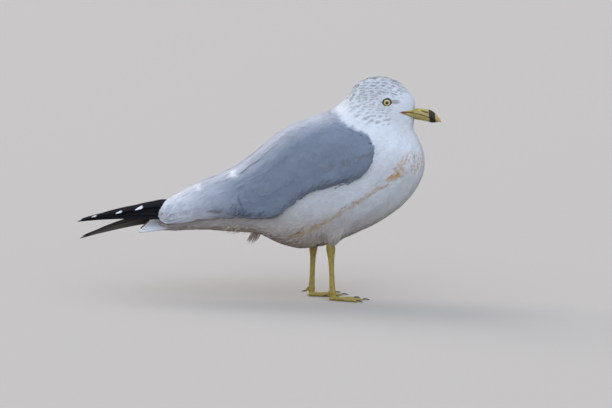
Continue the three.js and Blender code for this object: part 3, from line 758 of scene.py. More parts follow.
def small_feathers(piece_names, roots, seed, rows, shape, part_of):
    """Coat pieces over the form. part_of tells each root's piece by number."""
    points, normals = roots
    x, y, z = points.T
    random = np.random.default_rng(seed)
    count = len(points)
    length, width, lift = (sizes_at(points, column) for column in (LENGTH, WIDTH, LIFT))
    loose = smoothstep(112 * MM, 84 * MM, z) * (1 - greyness(points))
    length = length * random.uniform(0.85, 1.15, count)
    width = width * random.uniform(0.85, 1.1, count)
    over_fold = (z - np.interp(x, *SCAPULAR_PARTING[::-1].T)) * greyness(points)
    lift = lift * (0.3 + random.random(count) * (1 + 2.5 * loose))
    lift = lift + CROWN_RUFFLE * smoothstep(250 * MM, 262 * MM, z) * random.random(count)
    lift = lift + FOLD_LIFT * smoothstep(0, 3 * MM, over_fold) * smoothstep(10 * MM, 5 * MM, over_fold)
    from_leg = np.hypot(x - LEG_CENTRE[0], np.abs(y) - LEG_CENTRE[1])
    over_leg = smoothstep(17 * MM, 12 * MM, from_leg) * smoothstep(86 * MM, 82 * MM, z) > 0.5
    room = np.maximum((z - THIGH_END) * 1.15, 2.5 * MM)
    length = np.where(over_leg, np.minimum(length, room), length)
    width = np.where(over_leg, np.minimum(width, 0.4 * length + MM), width)
    yaw = random.normal(0, 0.09 + 0.1 * loose, count)
    lines = laid(points, normals, length, yaw, rows)
    depth = coat_depth(points) * 0.9
    numbers = part_of(points)
    ends_off = np.array([form.find_nearest(end)[3] for end in lines[0][:, -1].tolist()])
    backward = (lines[0][:, -1, 0] < x) | (x > -60 * MM)
    for number, name in enumerate(piece_names):
        # A vane whose line ran wrongly over a fold of the form is left out.
        free_end = ("wing" not in name) & (z < FREE_BELOW_Z)
        mine = (numbers == number) & backward & ((ends_off < END_OFF) | free_end)
        mesh = vanes(
            [line[mine] for line in lines], width[mine], depth[mine], lift[mine], random, shape,
            coat_tint(random, mine.sum(), grey="wing" in name),
        )
        slot = "pearl_grey_feather" if "wing" in name else "white_feather"
        add_mesh(name, material=feather_finish, slot=slot, **mesh)


def side_of(points):
    return (points[:, 1] > 0).astype(int)


def on_head(points):
    return on_spine(points)[0] < 70 * MM


def behind_head(points):
    return ~on_head(points)


head_roots = coat_roots(tries=130000, seed=11, part=on_head, group_names=["body"])
head_pieces = [f"coat_head_{side}" for side in SIDES]
small_feathers(head_pieces, head_roots, seed=12, rows=3, shape=HEAD_VANE, part_of=side_of)
body_roots = coat_roots(tries=190000, seed=15, part=behind_head, group_names=["body", "thigh"])
before_tail = body_roots[0][:, 0] > RUMP_END
body_roots = [values[before_tail] for values in body_roots]


def body_part(points):
    """0 to 7: neck, breast, flank and vent, each right and left."""
    along, _ = on_spine(points)
    return side_of(points) + 2 * sum((along > edge * MM).astype(int) for edge in (112, 165, 240))


body_pieces = [f"coat_{part}_{side}" for part in ("neck", "breast", "flank", "vent") for side in SIDES]
small_feathers(body_pieces, body_roots, seed=16, rows=4, shape=BODY_VANE, part_of=body_part)

# ---- Folded wings ----
# Mantle, shoulder feathers and wing coverts: broad pearl-grey vanes in overlapping rows, smooth and close,
# rooted in back and wing, which run down and back over the folded wing.
WING_VANE = {"columns": 8, "narrow": 0.6, "round": 0.24, "ragged": 0.02, "arch": 0.04}
wing_roots = coat_roots(tries=40000, seed=17, part=behind_head, group_names=["wing"])
wing_pieces = [f"coat_wing_{side}" for side in SIDES]
small_feathers(wing_pieces, wing_roots, seed=18, rows=5, shape=WING_VANE, part_of=side_of)

# The innermost long feathers, the tertials, and the ends of the secondaries close over the rump behind the
# coverts. They fade to a pale lavender and end in a loose scalloped white edge.
TERTIAL_VANE = {
    "columns": 8, "narrow": 0.4, "round": 0.15, "ragged": 0.01, "arch": 0.05, "point": 0.4,
    "thickness": 0.3 * MM,
}
TERTIAL_ROOTS_X = (-104 * MM, 14 * MM)
WING_CORE = np.array([(-130, 88), (-60, 112), (10, 140)])  # x and z in mm, the line that they face away from
TERTIAL_END_X = -121 * MM
TERTIAL_SPACING = 6.4 * MM
TERTIAL_LENGTHS = (34, 44)  # shortest and longest in mm
TERTIAL_WIDTHS = np.array([(9, 6), (20, 10), (40, 16)])  # length and width in mm


def tertials(name, seed, side):
    """The long inner feathers of one wing. Those whose lines run wrongly over a fold are left out."""
    random = np.random.default_rng(seed)

    def outer(places):
        x, y, _ = places.T
        return (x > TERTIAL_ROOTS_X[0]) & (x < TERTIAL_ROOTS_X[1]) & (y * side > 0.6 * MM)

    points, normals = scattered(16000, seed, outer)
    centres = np.interp(points[:, 0] / MM, *WING_CORE.T) * MM
    out = points[:, 1] * normals[:, 1] + (points[:, 2] - centres) * normals[:, 2] > 0
    points, normals = points[out], normals[out]
    keep = thinned(points, np.full(len(points), TERTIAL_SPACING))
    keep = keep[group_of(points[keep]) == "tertials"]
    points, normals = points[keep], normals[keep]
    keep = inside_grey(points) > np.interp(points[:, 0] / MM, [-110, -60], [0.5, 4]) * MM
    points, normals = points[keep], normals[keep]
    count = len(points)
    room = (points[:, 0] - TERTIAL_END_X) * 1.08 + random.uniform(-3, 3, count) * MM
    length = np.minimum(random.uniform(*TERTIAL_LENGTHS, count) * MM, np.maximum(room, 9 * MM))
    lines = laid(points, normals, length, yaw=random.normal(0, 0.05, count), rows=8)
    ends = lines[0][:, -1]
    off = np.array([form.find_nearest(place)[3] for place in lines[0].reshape(-1, 3).tolist()])
    off = off.reshape(count, -1) * np.where(lines[0][:, :, 0] < -112 * MM, 0.4, 1)
    above_edge = ends[:, 2] - np.interp(ends[:, 0], *WING_LOW_EDGE.T) > 0
    backward = ends[:, 0] < points[:, 0]
    keep = backward & above_edge & (off.max(1) < 1.4 * MM)
    lines = [line[keep] for line in lines]
    points, length, count = points[keep], length[keep], keep.sum()
    tone = 1 + 0.035 * random.standard_normal(count)

    def tint(places, v, c):
        shape = places.shape[:2]
        within = places.reshape(-1, 3).copy()
        within[:, 2] = np.maximum(within[:, 2], np.interp(within[:, 0], *WING_LOW_EDGE.T) + 6 * MM)
        colour = markings(within).reshape(*shape, 1, 3)
        colour = colour * tone[:, None, None, None]
        last = smoothstep(-70 * MM, -104 * MM, places[:, -1:, 0])[:, :, None]
        edge = last * np.maximum(smoothstep(0.68, 0.9, v), 0.7 * smoothstep(0.6, 1, np.abs(c)))
        return colour + (WHITE * 0.97 - colour) * 0.7 * edge[..., None]

    lift = random.uniform(0.05, 0.28, count) * MM * (1 + smoothstep(-60 * MM, -110 * MM, points[:, 0]))
    width = np.interp(length / MM, *TERTIAL_WIDTHS.T) * MM
    mesh = vanes(lines, width, np.full(count, 0.9 * MM), lift, random, TERTIAL_VANE, tint)
    add_mesh(f"coat_{name}", material=feather_finish, slot="pearl_grey_feather", replaces=[name], **mesh)


for rank, (side_name, side) in enumerate(SIDES.items()):
    tertials(f"wing_{side_name}_tertials", 21 + rank, side)

# ---- Wing tips ----
# The five outer primaries of each wing, long stiff black vanes in a curved stack, each with a white spot at
# its end. Their roots run on under the tertials.
PRIMARIES = {  # place of the shaft across the stack at start and tip, reach, and length of the white end
    10: (0, 0, 1, 1.6),
    9: (4.5, 0.8, 0.975, 3),
    8: (9.5, 1, 0.84, 6.5),
    7: (14, 1.5, 0.573, 8),
    6: (16, 4, 0.36, 9.5),
}
STACKS = {
    "right": {"start": (-108, -23, 105.6), "tip": (-217.9, -11, 94.2), "tilt": 40},
    "left": {"start": (-108, 23, 98.6), "tip": (-216.9, 16, 70.6), "tilt": 34},
}
OUTER_VANE, INNER_VANE = 4.2 * MM, 11 * MM
PRIMARY_STEP = 1.3 * MM
ROOT_SUNK = 7 * MM
PRIMARY_BOW = 11 * MM
STACK_MIDDLE = 9 * MM
STACK_CURVE = 12  # how fast the stack falls off to both sides of its middle
POINTED = 1.4  # how much closer the rows lie toward a primary's tip
BLACK = np.array([0.007, 0.007, 0.009])
# The pale stretch of a primary's underside, painted grey as it lies in shade.
MIRROR_SHADE_GREY = np.array([0.16, 0.16, 0.155])
RIB_HEIGHT, RIB_BREADTH = 0.35 * MM, 0.09  # its breadth is a share of a vane's
MIRROR = (0.5, 0.86)  # stretch of the tenth primary's underside that is pale


def blade(surface, out, thickness, rows, columns, colours):
    """One long feather with a raised midrib, from surface(u, v) and colours(u, v, whether it is the top)."""
    u, v = np.meshgrid(np.linspace(0, 1, rows + 1), np.linspace(-1, 1, columns + 1), indexing="ij")
    middle = surface(u, v)
    rib = RIB_HEIGHT * np.exp(-((v / RIB_BREADTH) ** 2)) * (1 - u)
    rim = np.sqrt(np.clip(1 - v**2, 0, 1))[..., None] * np.minimum(1, 14 * u * (1 - u) + 0.02)[..., None]
    top = middle + out * (thickness / 2 * rim + rib[..., None])
    under = (middle - out * thickness / 2 * rim)[1:-1, 1:-1]
    ids = np.arange(u.size).reshape(u.shape)
    below = ids.copy()
    below[1:-1, 1:-1] = u.size + np.arange(under[..., 0].size).reshape(under.shape[:2])
    faces = np.concatenate([sheet_faces(ids), sheet_faces(below)[:, ::-1]])
    length = np.linalg.norm(middle[-1, columns // 2] - middle[0, columns // 2])
    half = np.linalg.norm(middle[:, -1:] - middle[:, :1], axis=-1) / 2
    barbs = np.stack([half * v, u * length], -1) / MM
    inner = (slice(1, -1), slice(1, -1))
    tint = [colours(u, v, True), colours(u, v, False)[inner]]
    return {
        "points": np.concatenate([top.reshape(-1, 3), under.reshape(-1, 3)]),
        "triangles": faces,
        "upper": np.arange(len(faces)) < len(faces) // 2,
        "tint": np.concatenate([part.reshape(-1, 3) for part in tint]),
        "maps": {"vane": np.concatenate([barbs.reshape(-1, 2), barbs[inner].reshape(-1, 2)])},
    }


def primary(side_name, number, rank):
    """One primary of a folded wing."""
    stack, side = STACKS[side_name], SIDES[side_name]
    start_place, tip_place, reach, white = PRIMARIES[number]
    root, tip = np.array(stack["start"]) * MM, np.array(stack["tip"]) * MM
    length = np.linalg.norm(tip - root)
    ahead = (tip - root) / length
    tilt = math.radians(stack["tilt"])
    across = np.array([0, -side * math.cos(tilt), math.sin(tilt)])
    across = unit(across - ahead * (across @ ahead))
    out = np.cross(across, ahead) * -side

    def surface(u, v):
        u = 1 - (1 - u) ** POINTED
        share = u * reach
        taper = np.minimum(1, 1.2 * (1 - u) ** 0.75 + 0.03)
        shaft = (start_place + (tip_place - start_place) * u**1.5) * MM + PRIMARY_BOW * share**2 * (1 - share)
        place = shaft + v * taper * np.where(v < 0, OUTER_VANE, INNER_VANE)
        fall = STACK_CURVE * (place - STACK_MIDDLE) ** 2
        height = rank * PRIMARY_STEP - fall - ROOT_SUNK * (1 - share) ** 6
        steps = ((share * length, ahead), (place, across), (height, out))
        return root + sum(step[..., None] * way for step, way in steps)

    def colours(u, v, upper_side):
        from_tip = (1 - u) ** POINTED * reach * length / MM
        spot = smoothstep(white + 1, white - 1, from_tip + 1.6 * np.abs(v))
        spot = spot * smoothstep(0.15, 0.6, from_tip + 0.1)
        colour = np.broadcast_to(BLACK, u.shape + (3,))
        if not upper_side or number == 10:
            share = smoothstep(MIRROR[0] - 0.45, MIRROR[0], u) * smoothstep(MIRROR[1], MIRROR[1] - 0.12, u)
            # painted shade: the pale stretch of the underside is grey, as in shade
            pale = MIRROR_SHADE_GREY if not upper_side else BLACK
            colour = colour + (pale - colour) * share[..., None]
        return colour + (WHITE - colour) * spot[..., None]

    name = f"wing_{side_name}_primary_{number}"
    mesh = blade(surface, out, thickness=0.55 * MM, rows=60, columns=12, colours=colours)
    add_mesh(f"{name}_feather", material=primary_finish, slot="black_feather", replaces=[name], **mesh)


primary_finish, start, feed = finish("primary_finish", Roughness=0.6, Specular_IOR_Level=0.08)
side_place, along_place = start.across("vane")
barb = ((along_place - abs(side_place) * 1.1) * 7.0).sine()
feed(
    Base_Color=start.node("VertexColor", {"layer_name": "tint"}).times(1 + 0.14 * barb),
    Normal=start.node("Bump", inputs={"Height": barb, "Strength": 0.25, "Distance": 0.1 * MM}),
)
for side_name in SIDES:
    for rank, number in enumerate(PRIMARIES):
        primary(side_name, number, rank)

# ---- Tail ----
# Twelve white feathers, rooted in the rump and closed into one arched fan. The outer ones run further back,
# so that its end is notched. The middle pair lies on top and each further one slips under the last. The
# underside is painted a dark warm brown as shade.
TAIL_PAIRS = 6
TAIL = {"base_x": -74, "tip_x": -131, "base_z": 98, "tip_z": 93.5, "half_base": 10, "half_tip": 21}
TAIL_ARCH = 12 * MM
TAIL_NOTCH = 17 * MM
TAIL_FEATHER = 0.3  # half of a feather's width as a share of half the fan's
TAIL_UNDERSIDE_SHADE = np.array([0.34, 0.26, 0.19])


def tail_feather(rank, side):
    """Arrays of one tail feather, counted from the middle of the fan."""
    middle_share = (rank + 0.5) / TAIL_PAIRS * (1 - TAIL_FEATHER * 0.8) * side

    def surface(u, v):
        rounding = np.minimum(1, 4.5 * np.sqrt(np.clip(1 - u, 0, 1)))
        place = middle_share + v * TAIL_FEATHER * (0.55 + 0.45 * u) * (0.04 + 0.96 * rounding)
        place = np.clip(place, -1, 1)
        x = (TAIL["base_x"] + (TAIL["tip_x"] - TAIL["base_x"]) * u) * MM - TAIL_NOTCH * place**2 * u
        half = (TAIL["half_base"] + (TAIL["half_tip"] - TAIL["half_base"]) * u) * MM
        z = (TAIL["base_z"] + (TAIL["tip_z"] - TAIL["base_z"]) * u) * MM - TAIL_ARCH * place**2
        return np.stack([x, place * half, z + (0.9 - 0.3 * rank - 0.35 * np.abs(v)) * MM], -1)

    def colours(u, v, upper_side):
        # the underside is painted a dark warm brown as shade
        base = WHITE * 0.97 if upper_side else TAIL_UNDERSIDE_SHADE
        shade = 1 - 0.6 * smoothstep(0.88, 1, np.abs(v)) - 0.04 * np.sin(40 * u + 9 * np.abs(v))
        return base * shade[..., None]

    up = np.array([0, 0, 1.0])
    return blade(surface, up, thickness=0.4 * MM, rows=30, columns=10, colours=colours)


def joined(parts):
    """Several meshes' arrays as one."""
    starts = np.cumsum([0] + [len(part["points"]) for part in parts[:-1]])
    whole = {key: np.concatenate([part[key] for part in parts]) for key in ("points", "upper", "tint")}
    whole["triangles"] = np.concatenate([part["triangles"] + begun for part, begun in zip(parts, starts)])
    whole["maps"] = {key: np.concatenate([part["maps"][key] for part in parts]) for key in parts[0]["maps"]}
    return whole


fan = joined([tail_feather(rank, side) for side in SIDES.values() for rank in range(TAIL_PAIRS)])
add_mesh("tail_fan", material=feather_finish, slot="white_feather", replaces=["tail"], **fan)

# ---- Loose feathers ----
# Soft white tufts, rooted in the skin, that stand off the coat: ruffled ones under the vent with one that
# hangs, a fringe where the flank laps over the folded wing's lower edge, and the fluff that ends each thigh.
PALE_DOWN = np.array([0.80, 0.70, 0.60])
TUFT_VANE = {"columns": 4, "narrow": 0.4, "round": 0.5, "ragged": 0.08, "arch": 0.08, "point": 0.55}


def free_lines(roots, ways, ups, lengths, bend):
    """Middle lines of feathers that leave the coat and bend over by the vector bend toward their ends."""
    share = np.linspace(0, 1, 6)[None, :, None]
    points = roots[:, None] + ways[:, None] * lengths[:, None, None] * share + bend * share**2
    ways = unit(np.gradient(points, axis=1))
    return [points, ways, unit(ups[:, None] - ways * dot(ways, ups[:, None]))]


def loose_tuft(place, tries, seed, spacing, sizes, coat=1, way=(0, 0, 0), out=0.0, bend=(0, 0, 0), pale=0.0):
    """Arrays of free vanes that are rooted where place(points) holds, no nearer than a spacing.

    They point along a share of the coat's lie, a way and a share of the form's normal. sizes are the shortest
    and longest length and width in mm.
    """
    roots, normals = scattered(tries, seed, lambda middles: place(middles) + 1e-9)
    held = place(roots)
    roots, normals = roots[held], normals[held]
    keep = thinned(roots, np.full(len(roots), spacing))
    roots, normals = roots[keep], normals[keep]
    random = np.random.default_rng(seed + 1)
    count = len(roots)
    ways = coat * lie(roots, normals) + np.array(way) + out * normals
    ways = unit(ways + 0.12 * random.normal(size=(count, 3)))
    length = random.uniform(sizes[0], sizes[1], count) * MM
    width = random.uniform(sizes[2], sizes[3], count) * MM
    lines = free_lines(roots - normals * MM, ways, normals, length, np.array(bend) * MM)
    flat = np.zeros(count)
    own = coat_tint(random, count)

    def tint(*where):
        colour = own(*where)
        return colour + (PALE_DOWN - colour) * pale

    return vanes(lines, width, flat, flat, random, TUFT_VANE, tint)


def under_vent(points):
    x, y, z = points.T
    below_wing = z < np.interp(x, *WING_LOW_EDGE.T) - 8 * MM
    return (x > -37 * MM) & (x < -8 * MM) & (np.abs(y) < 28 * MM) & below_wing


def hanging_place(points):
    x, y, z = points.T
    return (np.hypot(x + 3 * MM, y + 12 * MM) < 5.5 * MM) & (z < 84 * MM)


def wing_edge(points):
    x, _, z = points.T
    below = np.interp(x, *WING_LOW_EDGE.T) - z
    return (x > 0) & (x < 118 * MM) & (below > 0.5 * MM) & (below < 3.5 * MM)


def thigh_end(points):
    x, y, z = points.T
    at_leg = np.hypot(x - 88 * MM, np.abs(y) - 21 * MM) < 9 * MM
    return at_leg & (z < THIGH_END + 5 * MM) & (z > THIGH_END - MM)


tufts = [
    loose_tuft(
        under_vent, tries=6000, seed=31, spacing=4.2 * MM, sizes=(7, 13, 2.6, 4), out=0.3,
        bend=(0, 0, -1), pale=0.8,
    ),
    loose_tuft(
        hanging_place, tries=6000, seed=33, spacing=2.0 * MM, sizes=(11, 17, 3.2, 4.6), coat=0,
        way=(-0.4, -0.05, -0.9), bend=(-1.5, 0, 0), pale=0.8,
    ),
    loose_tuft(
        wing_edge, tries=30000, seed=35, spacing=2.6 * MM, sizes=(9, 14, 3.2, 4.6), way=(0, 0, 0.42), out=0.16
    ),
    loose_tuft(
        thigh_end, tries=40000, seed=37, spacing=1.1 * MM, sizes=(2.5, 4.5, 1, 1.5), coat=0,
        way=(-0.1, 0, -1), out=0.1,
    ),
]
add_mesh("coat_loose_tufts", material=feather_finish, slot="white_feather", **joined(tufts))

# ---- Eyes ----
# Wet glossy eyes, let into the sides of the head, with a pale yellow iris round a black pupil. A thin dark
# bare rim of skin rings each one, drawn out to a corner in front and behind.
BALL = 7 * MM
BULGE = 0.5 * MM  # of the clear front over the iris
PUPIL, IRIS = 1.95, 3.95  # radii in mm
GAZE = {"right": (0.1, -1, 0.04), "left": (0.1, 1, 0.04)}
RIM_HALF_LENGTH, RIM_HALF_HEIGHT = 4.3 * MM, 3.8 * MM
RIM_RISE = 0.42 * MM
POLE = 0.012  # the angle at which a ball's first and last rings close


def closed_tube(rings, loop=False):
    """Triangles of a tube through rings of points, closed over its ends, or end to end when it is a loop."""
    count, around = rings.shape[:2]
    ids = np.arange(count * around).reshape(count, around)
    ids = np.concatenate([ids, ids[:, :1]], 1)
    if loop:
        ids = np.concatenate([ids, ids[:1]], 0)
    a, b, c, d = ids[:-1, :-1], ids[:-1, 1:], ids[1:, 1:], ids[1:, :-1]
    triangles = [np.stack([a, b, c, a, c, d], -1).reshape(-1, 3)]
    points = [rings.reshape(-1, 3)]
    if not loop:
        ends = np.array([count * around, count * around + 1])
        points.append(np.stack([rings[0].mean(0), rings[-1].mean(0)]))
        first, last = ids[0], ids[-1]
        triangles.append(np.stack([first[1:], first[:-1], np.full(around, ends[0])], 1))
        triangles.append(np.stack([last[:-1], last[1:], np.full(around, ends[1])], 1))
    points, triangles = np.concatenate(points), np.concatenate(triangles)
    if volume(points, triangles) < 0:
        triangles = triangles[:, ::-1]
    return points, triangles


def volume(points, triangles):
    a, b, c = (points[triangles[:, corner]] for corner in range(3))
    return np.einsum("ij,ij->i", a, np.cross(b, c)).sum() / 6


def flat_noise(start, across, along):
    """Fine noise over two coordinates."""
    place = start.node("CombineXYZ", inputs={0: across, 1: along})
    inputs = {"Vector": place, "Scale": 1.0, "Detail": 3.0}
    return start.node("TexNoise", {"noise_dimensions": "2D"}, inputs)


eye_finish, start, feed = finish(
    "eye_finish", Roughness=0.08, Coat_Weight=0.3, Coat_Roughness=0.03, Specular_IOR_Level=0.3
)
radius, angle = start.across("iris")
rays = flat_noise(start, angle * 9.0, radius * 0.4)
yellow = rays.mixed((0.70, 0.50, 0.12, 1), (0.95, 0.78, 0.32, 1))
rim_of_iris = radius.smooth(IRIS - 0.9, IRIS).mixed(yellow, (0.16, 0.11, 0.045, 1))
around_pupil = radius.smooth(PUPIL - 0.15, PUPIL + 0.15).mixed((0.004, 0.004, 0.005, 1), rim_of_iris)
feed(Base_Color=radius.smooth(IRIS, IRIS + 0.35).mixed(around_pupil, (0.02, 0.015, 0.012, 1)))

rim_finish, start, feed = finish("eye_rim_finish", Roughness=0.5)
grain = start.node("TexNoise", inputs={"Scale": 1400.0, "Detail": 3.0})
feed(
    Base_Color=grain.smooth(0.35, 0.65).mixed((0.008, 0.007, 0.007, 1), (0.028, 0.022, 0.018, 1)),
    Normal=start.node("Bump", inputs={"Height": grain, "Strength": 0.4, "Distance": 0.15 * MM}),
)

for side_name in SIDES:
    centre = np.array(EYE_CENTRES[side_name])
    gaze = unit(turned(np.array(GAZE[side_name]) + [NECK_AXIS_X, 0, 0]) - [NECK_AXIS_X, 0, 0])
    ahead = unit(np.cross(gaze, [0, 0, 1]) * -SIDES[side_name])
    upward = np.cross(ahead, gaze) * SIDES[side_name]
    upward *= np.sign(upward[2])
    polar = np.linspace(POLE, math.pi - POLE, 72)
    turn = np.linspace(0, 2 * math.pi, 72, endpoint=False)
    flat = BALL * np.sin(polar)
    bulge = BULGE * smoothstep(5.6 * MM, 2 * MM, flat) * (polar < math.pi / 2)
    out = BALL * np.cos(polar) + bulge
    circle = np.cos(turn)[:, None] * ahead + np.sin(turn)[:, None] * upward
    rings = centre + flat[:, None, None] * circle + out[:, None, None] * gaze
    points, triangles = closed_tube(rings)
    measure = np.where(polar < math.pi / 2, flat, BALL) / MM
    iris_map = np.stack(np.broadcast_arrays(measure[:, None], np.cos(turn * 8)), -1).reshape(-1, 2)
    iris_map = np.concatenate([iris_map, [[0, 0], [BALL / MM, 0]]])
    add_mesh(
        f"eyeball_{side_name}", points, triangles, eye_finish, "eye", maps={"iris": iris_map},
        replaces=[f"eye_{side_name}"],
    )

    corner = np.abs(np.cos(turn)) ** 6
    breadth = (0.5 + 0.35 * corner) * MM
    length, height = RIM_HALF_LENGTH + 0.6 * MM * corner, RIM_HALF_HEIGHT
    profile = np.linspace(0, 2 * math.pi, 12, endpoint=False)
    middle_line = np.cos(turn)[:, None] * length[:, None] * ahead
    middle_line = middle_line + (np.sin(turn) * height)[:, None] * upward
    outward = unit(middle_line)
    loop = middle_line[:, None] + outward[:, None] * (breadth[:, None] * np.cos(profile))[..., None]
    reach = np.minimum(np.linalg.norm(loop, axis=-1), BALL * 0.93)
    on_ball = np.sqrt(BALL**2 - reach**2)
    on_cheek = 5.5 * MM - 0.45 * (reach - RIM_HALF_LENGTH)
    lift = np.where(reach > RIM_HALF_LENGTH, np.maximum(on_ball, on_cheek), on_ball)
    lift = lift + RIM_RISE * np.sin(profile)
    points, triangles = closed_tube(centre + loop + lift[..., None] * gaze, loop=True)
    add_mesh(f"eye_rim_{side_name}", points, triangles, rim_finish, "eye")

# ---- Bill ----
# Two horny halves that part along the mouth and grow from the face: yellow with a greenish root, a black ring
# before the tip and a hooked point. The corners of the mouth run back through the cheeks as soft orange lips.
# Painted shade darkens the nostrils' slots and the crease along the mouth.
UPPER_BILL = np.array([  # top x and z, bottom x and z, half width
    (178, 226.2, 178, 224.4, 6.2), (184, 227.6, 184, 224.6, 7.4), (191.6, 229.6, 191.6, 223.4, 6.2),
    (198.2, 229.4, 198.8, 221.6, 5.2), (205.6, 227.8, 206.2, 219.2, 4.5), (211.2, 224.4, 212, 216.9, 3.6),
    (215.6, 219.4, 216, 214.9, 2.3), (217.6, 216.5, 217.9, 213.8, 1.2), (218.4, 214.1, 218.6, 213.1, 0.5),
]) * MM
LOWER_BILL = np.array([
    (178, 223.6, 178, 219.6, 6), (184.6, 223.9, 185.4, 217, 7), (193.2, 222.7, 193.6, 215.7, 5.6),
    (201.6, 220.4, 201.8, 214.3, 4.5), (207.2, 218.5, 207.4, 212.8, 3.8), (212.4, 216.3, 212.6, 213.2, 2.6),
    (215.4, 214.9, 215.5, 213.9, 1),
]) * MM
NOSTRIL = np.array([(195.8, 226.8), (202.6, 224.9)]) * MM
NOSTRIL_DEPTH = 0.26  # as a share of the bill's half width
BLACK_RING = ((204.4, 205.4), (212.6, 211.6))  # its soft start and its soft end along the bill in mm
LIP_DEPTH = 1.3 * MM
MOUTH = {  # x, z and half height along each lip
    "upper": np.array([
        (170.9, 226.5, 0.25), (176, 226.8, 0.6), (181, 227, 1), (186, 226.9, 1.8), (190, 226.9, 2.8),
    ]),
    "lower": np.array([
        (171.3, 226.1, 0.2), (176, 225.2, 1), (181, 223.9, 2), (186, 222.3, 2.8), (190, 220.7, 3.4),
    ]),
}


def through(values, steps):
    """A smooth curve through rows of values, at evenly spaced steps."""
    rows = np.concatenate([2 * values[:1] - values[1:2], values, 2 * values[-1:] - values[-2:-1]])
    place = np.linspace(0, len(values) - 1, steps)
    rank = np.minimum(place.astype(int), len(values) - 2)
    t = (place - rank)[:, None]
    p0, p1, p2, p3 = (rows[rank + shift] for shift in range(4))
    square = 2 * p0 - 5 * p1 + 4 * p2 - p3
    cube = 3 * p1 - 3 * p2 + p3 - p0
    return 0.5 * (2 * p1 + (p2 - p0) * t + square * t**2 + cube * t**3)


def bill_half(table, flat):
    """Rings of one half of the bill before the head turns. flat is -1 for the upper half, 1 for the lower."""
    values = through(table, 110)
    angle = np.linspace(0, 2 * math.pi, 56, endpoint=False)
    up = np.cos(angle)
    side = np.sign(np.sin(angle)) * np.abs(np.sin(angle)) ** 0.85
    up = np.where(up * flat < 0, np.sign(up) * np.abs(up) ** 1.1, 0.16 * up) if flat else up
    share = (up * -flat).clip(-0.16, 1)
    near, far = (values[:, 2:4], values[:, :2]) if flat < 0 else (values[:, :2], values[:, 2:4])
    spread = near[:, None] + (far - near)[:, None] * share[:, None]
    wide = values[:, 4:] * side
    return np.stack([spread[..., 0], wide, spread[..., 1]], -1)


bill_finish, start, feed = finish("bill_finish", Roughness=0.36, Specular_IOR_Level=0.35)
ahead_mm, height_mm = start.across("bill")
grain = start.node("TexNoise", inputs={"Scale": 260.0, "Detail": 4.0})
growth = flat_noise(start, ahead_mm * 0.16, height_mm * 1.1)
wander = (grain - 0.5) * 1.6
place = ahead_mm + wander + (height_mm - 218.0) * 0.12
base = growth.smooth(0.3, 0.7).mixed((0.40, 0.33, 0.09, 1), (0.56, 0.47, 0.17, 1))
root = (height_mm + (ahead_mm - 190.0) * 0.33).smooth(218.4, 215.5).mixed(base, (0.27, 0.25, 0.075, 1))
lip = ahead_mm.smooth(183.0, 174.5).mixed(root, (0.46, 0.13, 0.035, 1))
tip = place.smooth(210.5, 212.0).mixed(lip, (0.58, 0.40, 0.09, 1))
band = place.smooth(*BLACK_RING[0]) * place.smooth(*BLACK_RING[1])
dark = band.mixed(tip, (0.008, 0.009, 0.011, 1))
# painted shade in the nostrils' slots and along the mouth's crease, multiplied into the bill's colour
nostril_and_mouth_shade = start.node("VertexColor", {"layer_name": "tint"})
product = {"data_type": "RGBA", "blend_type": "MULTIPLY"}
relief = growth + 0.3 * grain
feed(
    Base_Color=start.node("Mix", product, {0: 1.0, 6: dark, 7: nostril_and_mouth_shade}, out=2),
    Roughness=0.30 + 0.22 * growth,
    Normal=start.node("Bump", inputs={"Height": relief, "Strength": 0.35, "Distance": 0.25 * MM}),
)
NOSTRIL_SHADE_RED = np.array([0.30, 0.10, 0.06])
MOUTH_LINE = np.array([
    (171, 226.3), (181, 226), (190, 223.8), (198, 221.5), (206.4, 218.9), (213, 216.3),
]) * MM
MOUTH_SHADE_BROWN = np.array([0.28, 0.13, 0.08])


def merged(parts):
    """Several pairs of points and triangles as one pair."""
    starts = np.cumsum([0] + [len(points) for points, _ in parts[:-1]])
    triangles = [part[1] + begun for part, begun in zip(parts, starts)]
    return np.concatenate([points for points, _ in parts]), np.concatenate(triangles)


def bill_piece(half, parts):
    """A half of the bill and its lips, turned with the head."""
    points, triangles = merged(parts)
    slot_way = NOSTRIL[1] - NOSTRIL[0]
    flat = points[:, [0, 2]] - NOSTRIL[0]
    share = np.clip(flat @ slot_way / (slot_way @ slot_way), 0, 1)
    off = np.linalg.norm(flat - share[:, None] * slot_way, axis=1)
    deep = smoothstep(0.95 * MM, 0.3 * MM, off) * (half == "upper") * (np.abs(points[:, 1]) > 2 * MM)
    # painted shade: the crease along the mouth line is darkened
    mouth_shade = smoothstep(0.75 * MM, 0.15 * MM, near_line(points, MOUTH_LINE))
    mouth_shade = mouth_shade * smoothstep(213 * MM, 208 * MM, points[:, 0])
    # painted shade: the nostril's slot is darkened to a deep red
    tint = 1 - deep[:, None] * (1 - NOSTRIL_SHADE_RED)
    tint = tint * (1 - mouth_shade[:, None] * (1 - MOUTH_SHADE_BROWN))
    bill_map = points[:, [0, 2]] / MM
    placed = points.copy()
    placed[:, 1] *= 1 - NOSTRIL_DEPTH * deep
    add_mesh(
        f"{half}_bill", turned(placed), triangles, bill_finish, "bill_horn", tint=tint,
        maps={"bill": bill_map}, replaces=[f"bill_{half}"],
    )


